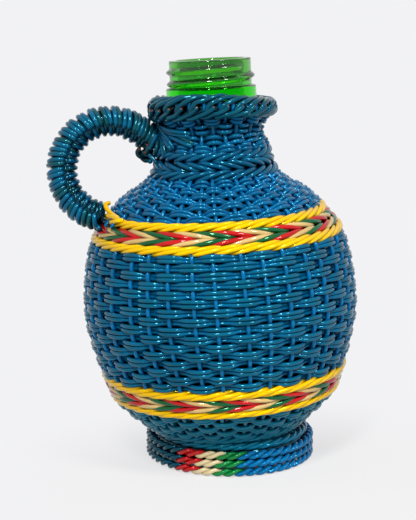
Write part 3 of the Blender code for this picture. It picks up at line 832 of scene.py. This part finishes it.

# %% [markdown]
# Behind the foot ropes, the ends of the stakes go down to the table, in front of a near-black
# layer of painted shade that lets no light shine through under the bottle.

# %% Stake ends inside the foot
THIN_RADIUS = 0.0007
STAKE_ENDS = 44
ends = []
for stake in range(STAKE_ENDS):
    angle = math.tau * stake / STAKE_ENDS
    upper = on_cover(0.0005, 0.0009, angle)
    lower = on_foot(FOOT_RING_RADIUS - FOOT_ROPE_RADIUS - 0.0010, angle + 0.03, 0.0014)
    ends.append((np.linspace(upper, lower, 7), THIN_RADIUS, 0, False))
add_wires("foot_stake_ends", ends, "teal", "teal_wire", "foot_skirt", crown=0.0)
add_shade_winding("foot_shade_winding", [(0.0279, 0.0009), (0.0280, 0.0100)],
            [(0.0275, 0.0009), (0.0275, 0.0100)], place=on_foot)

# %% [markdown]
# Underneath, a woven disc carries the glass. It is made like the rest, though it shows only
# when the bottle is tipped: rings of doubled wire over and under the spokes.

# %% Base disc
BASE_SPOKES = 20
BASE_HEIGHT = 0.0089
BASE_START = 0.0030
BASE_PITCH = 0.0029
BASE_SPREAD = 0.0007
BASE_SWING = 0.00075
SPOKE_SWING = 0.0003
SPOKE_ENDS = (0.0012, 0.0252)
base = []
for ring in range(8):
    angle = np.linspace(0.0, math.tau, BASE_SPOKES * 8, endpoint=False)
    height = BASE_HEIGHT + BASE_SWING * np.cos(BASE_SPOKES / 2 * angle + math.pi * ring)
    for side in (-1, 1):
        radius = BASE_START + ring * BASE_PITCH + side * BASE_SPREAD
        base.append((leaned(radius, angle, height), THIN_RADIUS, 0, True))
for spoke in range(BASE_SPOKES):
    r = np.linspace(*SPOKE_ENDS, 30)
    lift = -SPOKE_SWING * np.cos(math.pi * ((r - BASE_START) / BASE_PITCH + spoke))
    base.append((leaned(r, math.tau * spoke / BASE_SPOKES, BASE_HEIGHT + lift), THIN_RADIUS,
                 0, False))
add_wires("base_disc", base, "teal", "teal_wire", "base_weave", crown=0.0)

# %% [markdown]
# ## The glass
# The bottle is turned: one profile, spun round the axis, from the middle of the base
# outside to the middle of the floor inside, so the solid has no hole.

# %% Glass profile
GLASS_DEPTH = 0.0042
GLASS_INSIDE = 0.0070
GLASS_BOTTOM = 0.010803
LIP_TOP = 0.147070
BEAD_TOP = 0.137236
BEAD_FOOT = 0.130736
BEAD_RADIUS = 0.0163
NECK_RADIUS = 0.0148
BORE_RADIUS = 0.0120
BORE_LOW = 0.1165


def rounded(points, radius, steps=5):
    """A profile whose inner corners are rounded off."""
    points = [np.array(point, float) for point in points]
    out = [points[0]]
    for before, corner, after in zip(points, points[1:], points[2:]):
        into, away = before - corner, after - corner
        reach = min(radius, np.linalg.norm(into) * 0.45, np.linalg.norm(away) * 0.45)
        a, b = corner + unit(into) * reach, corner + unit(away) * reach
        for t in np.linspace(0.0, 1.0, steps):
            out.append((1 - t) ** 2 * a + 2 * t * (1 - t) * corner + t ** 2 * b)
    out.append(points[-1])
    return out


def glass_profile():
    """Outer and inner line of the glass, from the middle of the base to the middle inside."""
    side = np.array([cover_rz(s, GLASS_DEPTH) for s in np.linspace(0.0008, COLLAR_WAIST, 70)])
    heel, neck_low = side[0][0], side[-1][0]
    outer = rounded([(0.0, GLASS_BOTTOM + 0.0022), (heel * 0.6, GLASS_BOTTOM + 0.0016),
                     (heel - 0.0022, GLASS_BOTTOM), (heel - 0.0006, GLASS_BOTTOM + 0.0001)],
                    0.0015)
    outer += list(side)
    outer += rounded([(neck_low, BEAD_FOOT - 0.0019), (BEAD_RADIUS, BEAD_FOOT),
                      (BEAD_RADIUS, BEAD_TOP), (NECK_RADIUS, BEAD_TOP + 0.0002),
                      (NECK_RADIUS, BEAD_TOP + 0.0010)], 0.0007)[1:]
    outer += [(NECK_RADIUS, z) for z in np.linspace(BEAD_TOP + 0.0012, LIP_TOP - 0.0012, 40)]
    outer += rounded([(NECK_RADIUS, LIP_TOP - 0.0010), (NECK_RADIUS, LIP_TOP),
                      (BORE_RADIUS, LIP_TOP), (BORE_RADIUS, LIP_TOP - 0.002)], 0.0010)
    inner = [cover_rz(s, GLASS_INSIDE) for s in np.linspace(0.0020, COLLAR_WAIST, 60)]
    inner = [(r, z) for r, z in inner if r > BORE_RADIUS + 0.0003
             and GLASS_BOTTOM + 0.0055 < z < BORE_LOW - 0.001]
    floor = GLASS_BOTTOM + 0.0040
    line = [(BORE_RADIUS, BORE_LOW)] + inner[::-1]
    line += [(inner[0][0] - 0.004, floor), (0.0, floor + 0.0022)]
    return outer + rounded(line, 0.0020, 3)


profile = glass_profile()
print("the glass profile has", len(profile), "points")

# %% [markdown]
# The screw thread isn't turned, so after the spin the outer points of the neck are pushed
# out along a helix, which fades at both ends.

# %% Spin the glass and raise the thread
GLASS_STEPS = 144
THREAD_HEIGHT = 0.00120
THREAD_PITCH = 0.00423
THREAD_HALF_WIDTH = 0.00135
THREAD_TOP = LIP_TOP - 0.00255
THREAD_START = math.radians(-39.0)
THREAD_TURNS = 1.66


def thread_push(angle, z):
    """How far the thread stands out of the neck at an angle and a height."""
    push = 0.0
    for turn in range(-3, 2):
        below = THREAD_START - (angle + math.tau * turn)
        centre = THREAD_TOP - THREAD_PITCH * below / math.tau
        ends = climb(below, 0.0, 0.35) * climb(THREAD_TURNS * math.tau - below, 0.0, 0.5)
        across = climb(abs(z - centre), 0.0, THREAD_HALF_WIDTH)
        push = max(push, math.sin(ends * math.pi / 2) * math.cos(across * math.pi / 2) ** 1.3)
    return THREAD_HEIGHT * push


work = spun(profile, False, GLASS_STEPS)
for vert in work.verts:
    x, y, z = vert.co
    r = math.hypot(x, y)
    if r > NECK_RADIUS - 0.0003 and BEAD_TOP + 0.0004 < z < LIP_TOP - 0.0005:
        vert.co += Vector((x, y, 0.0)) / r * thread_push(math.atan2(y, x), z)
    vert.co.x += neck_shift(z)
work.transform(LEAN)
glass_mesh = to_mesh(work, "glass")
glass_mesh.shade_smooth()
print("the thread ends", round(THREAD_TURNS * THREAD_PITCH * 1000, 1), "mm below its start")

# %% [markdown]
# The glass is deep green above the cover, where its bead sits in front of dark wire, and
# paler and greyer towards the lip. A ramp on the height paints this light and shade into
# the glass colour. The bead mirrors the white background, which would turn it milky. Its
# faces get a copy of the material with hardly any red and blue in the reflection.

# %% Green glass
GLASS_LIGHT_TONES = [(0.1335, (26, 216, 4)), (0.1378, (44, 204, 18)), (0.1430, (66, 180, 34)),
               (0.1480, (88, 166, 56))]
TONE_LOW, TONE_HIGH = GLASS_LIGHT_TONES[0][0], GLASS_LIGHT_TONES[-1][0]
glass, tree, shader = new_material("green_glass")
up = add_node(tree, "SeparateXYZ", {0: object_place(tree)}).outputs["Z"]
span = add_node(tree, "MapRange", {"Value": up, "From Min": TONE_LOW,
                                   "From Max": TONE_HIGH})
ramp = add_node(tree, "ValToRGB", {0: span.outputs[0]})
stops = ramp.color_ramp.elements
for index, (height, colour) in enumerate(GLASS_LIGHT_TONES):
    place = (height - TONE_LOW) / (TONE_HIGH - TONE_LOW)
    stop = stops[index] if index < 2 else stops.new(place)
    stop.position = place
    stop.color = linear(*colour)
feed(tree, shader, {"Base Color": ramp.outputs["Color"], "Transmission Weight": 1.0, "IOR": 1.5,
                    "Specular IOR Level": 0.5, "Specular Tint": (0.9, 1.0, 0.85, 1.0),
                    "Roughness": 0.02})
deep_glass = glass.copy()
deep_glass.name = "green_glass_band"
deep_glass.node_tree.nodes["Principled BSDF"].inputs["Specular Tint"].default_value = (
    0.06, 1.0, 0.05, 1.0)
for face in glass_mesh.polygons:
    face.material_index = int(face.center.z < BEAD_TOP + 0.0002)
add_piece("glass", glass_mesh, [glass, deep_glass], "green_glass", "glass_bottle")

# %% [markdown]
# ## The rim
# The stakes end in a braided border. Each comes out of a hole, bends over its neighbour's
# cut end, slants up over the roll and goes down inside. The other end of the same work
# slants up from below and is cut off under it, where its copper core shows.

# %% Paths of the border
RIM_ENDS = 26
RIM_WIRE = 0.00172
RIM_CORE_RADIUS = 0.00058
RIM_STAKE_RADIUS = 0.00075
ROLL_RADIUS, ROLL_HEIGHT = 0.0200, 0.1298
ROLL_HALF_WIDTH, ROLL_HALF_HEIGHT = 0.0038, 0.0048
SPACING = math.tau / RIM_ENDS
ANGLE_SCALE = 0.0056  # makes an angle in spacings as long as the millimetres beside it
TAIL_PATH = [  # radius, height, angle in spacings
    (0.0209, 0.1262, -1.85), (0.0217, 0.1264, -1.45), (0.0223, 0.1269, -1.00),
    (0.0226, 0.1277, -0.55), (0.0227, 0.1289, -0.18), (0.0229, 0.1300, 0.02)]
ARC_PATH = [(0.0213, 0.1278, -0.60), (0.0222, 0.1290, -0.45), (0.0226, 0.1302, -0.31),
            (0.0227, 0.1313, -0.10), (0.0224, 0.1322, 0.28), (0.0217, 0.1331, 0.80),
            (0.0206, 0.1337, 1.35), (0.0193, 0.1337, 1.90), (0.0182, 0.1329, 2.35),
            (0.0178, 0.1313, 2.70), (0.0178, 0.1296, 2.95)]
STAKE_PATH = [(0.0212, 0.1256, 0.45), (0.0213, 0.1285, 0.45), (0.0211, 0.1318, 0.45)]


def rim_path(stops, start, loose):
    """Places of a border wire through stops, each a little off its place."""
    stops = [(r + wobble.normal() * loose, z + wobble.normal() * loose, a * ANGLE_SCALE)
             for r, z, a in stops]
    r, z, a = smooth_line(stops, 5).T
    return leaned(r, start + a / ANGLE_SCALE * SPACING, z)


def rim_crown(mesh):
    """Crown values from each vertex's place round the middle of the roll."""
    x, y, z = upright_places(mesh).T
    x = x - neck_shift(z)
    z = z - rim_lift(np.arctan2(y, x), z - 0.0010)
    across = (np.hypot(x, y) - ROLL_RADIUS) / ROLL_HALF_WIDTH
    up = (z - ROLL_HEIGHT) / ROLL_HALF_HEIGHT
    return (np.hypot(across, up) - 0.60) / 0.34


print(RIM_ENDS, "ends, one every", round(math.degrees(SPACING), 1), "degrees")

# %% [markdown]
# Each end gives a tail with its copper core, an arc over the roll and a stake in its hole.

# %% Braided border
tails, arcs, stakes = [], [], []
for end in range(RIM_ENDS):
    start = SPACING * (end + 0.5 + wobble.normal() * 0.07)
    places = rim_path(TAIL_PATH, start, 0.00014)
    tails.append((places, RIM_WIRE / 2, 0, False))
    outward = unit(places[-1] - places[-2])
    core = np.array([places[-1] - outward * 0.0004, places[-1] + outward * 0.00025])
    tails.append((core, RIM_CORE_RADIUS, 1, False))
    arcs.append((rim_path(ARC_PATH, start, 0.00015), RIM_WIRE / 2, 0, False))
    stakes.append((rim_path(STAKE_PATH, start, 0.0001), RIM_STAKE_RADIUS, 0, False))
add_wires("rim_tails", tails, "rim copper_end", "teal_wire", "rim_rope", crown=rim_crown,
          sides=10)
add_wires("rim_arcs", arcs, "rim", "teal_wire", "rim_border", crown=rim_crown, sides=10)
add_wires("rim_stakes", stakes, "stake", "teal_wire", crown=rim_crown, sides=10)
# A near-black sheet of painted shade lies inside the roll, behind the border.
add_shade_winding("rim_shade_winding",
            [(0.0190, 0.1246), (0.0206, 0.1266), (0.0206, 0.1312), (0.0196, 0.1322)],
            [(0.0176, 0.1250), (0.0185, 0.1270), (0.0184, 0.1310), (0.0188, 0.1318)])

# %% [markdown]
# ## The handle
# The handle is a loop of thick wire, hitched all along with doubled wire. Its line leaves
# the collar, goes round most of a circle and comes down on the upper band, a little nearer
# to the camera.

# %% Line of the handle
HANDLE_RADIUS = 0.0171
HANDLE_REACH = 0.0375
HANDLE_DROP = 0.0115
LOOP_START, LOOP_END = 50.0, 246.0
HANDLE_HOLLOW = 0.0046
HANDLE_CROWN_DEPTH = 0.0018
FOOT_TURN = math.radians(8.0)
handle_centre = np.array([-HANDLE_REACH, 0.0, cover_rz(COLLAR_WAIST, 0.0)[1] - HANDLE_DROP])
top = cover_rz(NECK_ROPES_TOP + 0.0015, 0.0)
low = cover_rz(UPPER_BAND_TOP - (UPPER_BAND_TOP - UPPER_BAND_BOTTOM) / 8, 0.0)
swing = low[0] * math.sin(FOOT_TURN)
stops = [(-top[0], 0.0, top[1])]
for share in np.linspace(0.0, 1.0, 10):
    turn = math.radians(LOOP_START + share * (LOOP_END - LOOP_START))
    stops.append((-HANDLE_REACH + HANDLE_RADIUS * math.cos(turn), -swing * share,
                  handle_centre[2] + HANDLE_RADIUS * math.sin(turn)))
stops.append((-low[0] * math.cos(FOOT_TURN), -swing, low[1]))
handle_line = smooth_line(stops, 24)
handle_along = lengths_along(handle_line)
HANDLE_END = handle_along[-1]


def on_handle(s, reach, turn):
    """World places at lengths along the handle, distances from its line, and turns round it.

    A turn of 0 faces away from the loop's centre, and a quarter turn faces the camera.
    """
    s, reach, turn = as_arrays(s, reach, turn)
    inside = np.clip(s, TANGENT_REACH, HANDLE_END - TANGENT_REACH)
    behind, place, ahead = [line_at(handle_line, handle_along, inside + step).T
                            for step in (-TANGENT_REACH, 0.0, TANGENT_REACH)]
    forward = unit(ahead - behind)
    place = place + forward * (s - inside)[:, None]
    side = unit(np.array([0.0, -1.0, 0.0]) + forward * forward[:, 1][:, None])
    outward = np.cross(side, forward)
    outward *= np.sign(np.sum(outward * (place - handle_centre), axis=1))[:, None]
    radial = outward * np.cos(turn)[:, None] + side * np.sin(turn)[:, None]
    return moved(place + reach[:, None] * radial, LEAN_ARRAY)


def handle_crown(mesh):
    """Crown values from each vertex's distance to the handle's line."""
    away = distances(mesh_places(mesh), moved(handle_line, LEAN_ARRAY))
    return (away - HANDLE_HOLLOW) / HANDLE_CROWN_DEPTH


print(f"the handle is {HANDLE_END * 1000:.1f} mm long")

# %% [markdown]
# A hitch starts at a ridge on the face of the loop, goes round the outside and the back,
# and comes up on the inside to tuck under the ridge. The table gives, for stops along the
# wire, its turn round the handle, how far along the handle it has moved, and how high it
# lies. About a third of the wires have a duller finish. A near-black core of painted shade
# fills the middle.

# %% Hitches round the handle
HITCHES = 20
HITCH_WIRE = 0.00188
HITCH_REACH = 0.00508
HITCH_SPREAD = 0.00074
FILLING_RADIUS = 0.0041
DULL_SHARE = 0.34
TURN_SCALE = 50.0
HITCH_STOPS = [  # turn in degrees, advance in hitches, lift in mm
    (104, -0.50, -1.6), (95, -0.46, -0.6), (84, -0.38, 0.40), (64, -0.26, 0.55),
    (34, -0.10, 0.25), (0, 0.0, 0.0), (-45, 0.03, -0.1), (-100, 0.06, -0.1),
    (-150, 0.08, -0.3), (-180, 0.08, -0.45), (-205, 0.10, -0.55), (-230, 0.16, -0.75),
    (-252, 0.22, -1.2), (-270, 0.28, -2.0)]
hitch_start, hitch_end = 0.0030, HANDLE_END - 0.0012
hitch_pitch = (hitch_end - hitch_start) / HITCHES
turn, advance, lift = smooth_line([(degrees / TURN_SCALE, advance, lift)
                                   for degrees, advance, lift in HITCH_STOPS], 4).T
turn = np.radians(turn * TURN_SCALE)
face = np.cos(turn)
hitches = []
for hitch in range(HITCHES):
    middle = hitch_start + hitch_pitch * (hitch + 0.5) + wobble.normal() * 0.00015
    swell = wobble.normal() * 0.00010
    for side in (-1, 1):
        bow = 0.00016 * wobble.normal() * np.sin(turn * 1.3 + wobble.uniform(0, math.tau))
        spread = side * (HITCH_SPREAD + 0.00004 * face - 0.00020 * face ** 2) + bow
        stacked = 0.00035 * (1 - side) * np.clip(-face, 0.0, 1.0)
        reach = HITCH_REACH + swell + lift * 0.001 - stacked - abs(wobble.normal()) * 0.00012
        places = on_handle(middle + spread + advance * hitch_pitch, reach, turn + side * 0.03)
        hitches.append((places, HITCH_WIRE / 2, int(wobble.uniform() < DULL_SHARE), False))
add_wires("handle_hitches", hitches, "handle handle_dark", "handle_wire", "handle_wrap",
          crown=handle_crown)
filling = on_handle(np.linspace(0.0, HANDLE_END, 70), 0.0, 0.0)
add_wires("handle_filling", [(filling, FILLING_RADIUS, 0, False)], "inner_wire",
          "handle_wire", "handle_core", "handle_top_lashing", "handle_lower_lashing",
          crown=0.0, sides=24)

# %% [markdown]
# At the upper root the wires fan out over the collar and tuck under the neck ropes. A row
# of the table is one doubled wire: where it starts and ends, by its angle and its share of
# the way down the collar, and how far it lifts off in between.

# %% Fan of the upper root
FAN = [  # angle and share at the start, angle and share at the end, lift in wires
    (-190.0, 0.05, -174.0, 1.15, 1.0), (-180.0, 0.05, -159.0, 1.15, 1.5),
    (-170.0, 0.10, -149.0, 1.10, 0.8), (-163.0, 0.14, -138.0, 0.90, 1.6),
    (-156.0, 0.28, -113.0, 0.76, 0.8), (-160.0, 0.10, -117.0, 0.48, 1.2)]
# One wire of each pair that lifts less than this gets the dark finish, as painted shade where it
# lies low.
SHADED_BELOW = 1.1
FAN_RADIUS = 0.0008
FAN_DEPTH = 0.0008
FAN_LIFT = 0.0013
share = np.linspace(0.0, 1.0, 11)
fan = []
for start, top, end, bottom, lift in FAN:
    for side in (-1, 1):
        across = side * (0.62 + 0.42 * np.sin(math.pi * share))
        tilt = math.atan2(bottom - top, (end - start) / 40.0)
        fraction = top + (bottom - top) * share - across * 0.062 * math.cos(tilt)
        angle = np.radians(start + (end - start) * share + across * 2.9 * math.sin(tilt))
        s = COLLAR_TOP + (NECK_ROPES_TOP - COLLAR_TOP) * fraction
        rise = lift + 0.25 * wobble.normal()
        depth = FAN_DEPTH - FAN_LIFT * rise * np.sin(math.pi * share) ** 0.7
        fan.append((on_cover(s, depth, angle), FAN_RADIUS, int(side > 0 and lift < SHADED_BELOW),
                    False))
add_wires("handle_fan", fan, "neck handle_dark", "handle_wire")

# %% [markdown]
# Cut ends stand out below both roots, and at the lower one the end of a yellow rope curls
# up. No rule makes these, so each wire is a short row of given places.

# %% Cut ends at the roots
MM = 0.001
COPPER_RADIUS = 0.00068
CURL_RADIUS = 0.00084
# Finish 2 is near-black painted shade: the dark wires and the thick mass under the upper root,
# and one dark wire at the lower root.
ROOT_FINISHES = "handle copper_end inner_wire handle_dark stake"
ROOT_WIRES = [  # radius in mm, finish, places in mm
    (0.85, 2, [(-23.2, -1.0, 114.5), (-23.9, -1.0, 113.4), (-23.6, -1.0, 112.3),
               (-22.6, -0.8, 111.6), (-21.2, 0.0, 111.4)]),
    (0.90, 2, [(-22.9, 0.5, 112.2), (-22.2, 0.5, 111.0), (-21.1, 0.4, 110.2),
               (-19.7, 0.2, 110.5)]),
    (0.80, 0, [(-19.6, -3.0, 112.9), (-18.2, -3.6, 111.4), (-16.6, -4.4, 110.0)]),
    (0.90, 0, [(-19.3, -2.4, 110.1), (-19.0, 0.5, 110.2), (-18.6, 3.0, 110.4)]),
    (0.80, 2, [(-18.4, -3.4, 115.6), (-20.4, -3.0, 113.7)]),
    (0.80, 3, [(-20.0, -4.0, 116.2), (-19.8, -4.2, 115.1), (-20.4, -3.4, 113.6)]),
    (1.50, 2, [(-22.4, 1.0, 113.6), (-21.4, 0.6, 112.4), (-19.4, 0.6, 112.2),
               (-17.4, 0.6, 112.8)]),
    (0.82, 0, [(-16.7, -5.8, 120.1), (-17.7, -6.2, 118.2), (-18.6, -6.0, 116.5),
               (-19.2, -5.4, 115.0)]),
    (0.82, 3, [(-16.0, -6.4, 118.0), (-16.4, -7.9, 116.8), (-16.8, -8.6, 115.3),
               (-17.4, -7.0, 113.3)]),
    (0.95, 2, [(-39.4, -1.0, 90.0), (-37.8, -6.0, 90.0), (-35.5, -13.4, 90.3),
               (-34.2, -15.6, 89.6)]),
    (0.92, 0, [(-41.6, -2.0, 87.8), (-40.4, -5.0, 87.5), (-38.4, -10.4, 87.8),
               (-37.1, -14.1, 87.3)]),
    (0.85, 3, [(-38.8, -3.0, 92.0), (-37.9, -5.0, 91.2), (-37.0, -7.0, 90.6)]),
    (0.62, 4, [(-33.1, -15.6, 90.7), (-33.8, -18.3, 90.0), (-34.7, -18.4, 88.7)]),
    (0.62, 4, [(-31.2, -20.8, 90.2), (-31.8, -22.2, 89.7), (-32.3, -22.1, 88.9)])]
COPPER_ENDS = [[(-23.5, -1.2, 114.0), (-23.0, -1.2, 114.9)],
               [(-20.3, -3.3, 113.8), (-21.2, -3.2, 113.0)],
               [(-20.0, -4.1, 116.0), (-20.0, -4.3, 116.8)]]
CURL_WIRES = [
    [(-33.9, -9.0, 95.8), (-34.6, -10.0, 95.8), (-35.0, -11.0, 95.4), (-34.6, -12.5, 94.4),
     (-33.5, -14.5, 93.5), (-32.0, -17.0, 92.7), (-30.2, -20.4, 92.1)],
    [(-34.1, -15.5, 92.2), (-32.2, -18.6, 92.2), (-30.3, -21.5, 91.9), (-28.4, -23.6, 91.4)],
    [(-32.6, -19.4, 90.4), (-31.1, -21.9, 91.0), (-29.6, -23.3, 91.5), (-28.0, -23.7, 91.7)]]
ends = [(smooth_line(stops, 5) * MM, radius * MM, finish, False)
        for radius, finish, stops in ROOT_WIRES]
ends += [(np.array(stops) * MM, COPPER_RADIUS, 1, False) for stops in COPPER_ENDS]
add_wires("handle_wire_ends", ends, ROOT_FINISHES, "handle_wire", crown=0.6)
curl = [(smooth_line(stops, 5) * MM, CURL_RADIUS, 0, False) for stops in CURL_WIRES]
add_wires("yellow_curl", curl, "yellow", "yellow_wire", crown=0.85)

# %% [markdown]
# ## The stage
# The floor and the background are a pale, softly lit card. Near the bottle the floor is a
# real surface that takes its shadow. Further off it fades into the plain colour of the
# background, so that no horizon shows.

# %% Floor
PALE = linear(242, 242, 244)
CARD = linear(222, 221, 218)
SHADOW_MIDDLE = (0.030, -0.045, 0.0)
FLOOR_RADIUS = 6.0


def background_mask(tree):
    """1 for the rays that should see the background, 0 for those that only carry light."""
    rays = add_node(tree, "LightPath").outputs
    mask = math_node(tree, "MAXIMUM", rays["Is Camera Ray"], rays["Is Glossy Ray"])
    return math_node(tree, "MAXIMUM", mask, rays["Is Transmission Ray"])


def mix_shaders(tree, factor, first, second, output):
    """Send a mix of two shaders to the output node."""
    mix = add_node(tree, "MixShader", {0: factor, 1: first.outputs[0], 2: second.outputs[0]})
    tree.links.new(mix.outputs[0], tree.nodes[output].inputs["Surface"])


card, tree, shader = new_material("card")
feed(tree, shader, {"Base Color": CARD, "Roughness": 0.9, "Specular IOR Level": 0.0})
away = add_node(tree, "VectorMath", {0: object_place(tree), 1: SHADOW_MIDDLE},
                operation="DISTANCE").outputs["Value"]
fade = add_node(tree, "MapRange", {"Value": away, "From Min": 0.02, "From Max": 0.125,
                                   "To Min": 0.62}, interpolation_type="SMOOTHSTEP")
plain = add_node(tree, "Emission", {"Color": PALE})
mix_shaders(tree, math_node(tree, "MULTIPLY", fade.outputs[0], background_mask(tree)), shader,
            plain, "Material Output")
work = bmesh.new()
bmesh.ops.create_circle(work, cap_ends=True, segments=96, radius=FLOOR_RADIUS)
floor = new_object("floor", to_mesh(work, "floor"))
floor.data.materials.append(card)
floor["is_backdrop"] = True
print("the floor is", 2 * FLOOR_RADIUS, "m wide")

# %% [markdown]
# Two tall lamps make the short white glints on the crowns. The world fills the shadows with
# a weak cool light, while the camera, the gloss and the glass see the pale card.

# %% World and lamps
LAMP_DISTANCE = 1.3
LAMPS = [  # name, azimuth and rise in degrees, width, height, power
    ("front_softbox", -11.0, 45.0, 0.12, 0.50, 13.5),
    ("right_softbox", 42.0, 45.0, 0.18, 0.50, 10.0)]
world = bpy.data.worlds.new("studio")
bpy.context.scene.world = world
world.use_nodes = True
tree = world.node_tree
fill = tree.nodes["Background"]
feed(tree, fill, {"Color": (0.93, 0.96, 1.0, 1.0), "Strength": 0.25})
seen = add_node(tree, "Background", {"Color": PALE})
mix_shaders(tree, background_mask(tree), fill, seen, "World Output")
for name, azimuth, rise, width, height, power in LAMPS:
    data = bpy.data.lights.new(name, "AREA")
    data.shape = "RECTANGLE"
    data.size, data.size_y = width, height
    data.energy = power
    azimuth, rise = math.radians(azimuth), math.radians(rise)
    away = Vector((math.sin(azimuth) * math.cos(rise), -math.cos(azimuth) * math.cos(rise),
                   math.sin(rise)))
    lamp = new_object(name, data)
    lamp.location = Vector((0.0, 0.0, 0.08)) + LAMP_DISTANCE * away
    lamp.rotation_euler = away.to_track_quat("Z", "Y").to_euler()
print(len(LAMPS), "lamps")

# %% [markdown]
# ## Last step
# The sizes of the CAD model and of the dressed model are written down, to be compared.

# %% Sizes and finish
dressed_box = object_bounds()
for axis, low, high, cad_low, cad_high in zip("xyz", *dressed_box, *cad_box):
    print(f"{axis}: {low * 1000:.2f} to {high * 1000:.2f} mm,",
          f"CAD {cad_low * 1000:.2f} to {cad_high * 1000:.2f}")
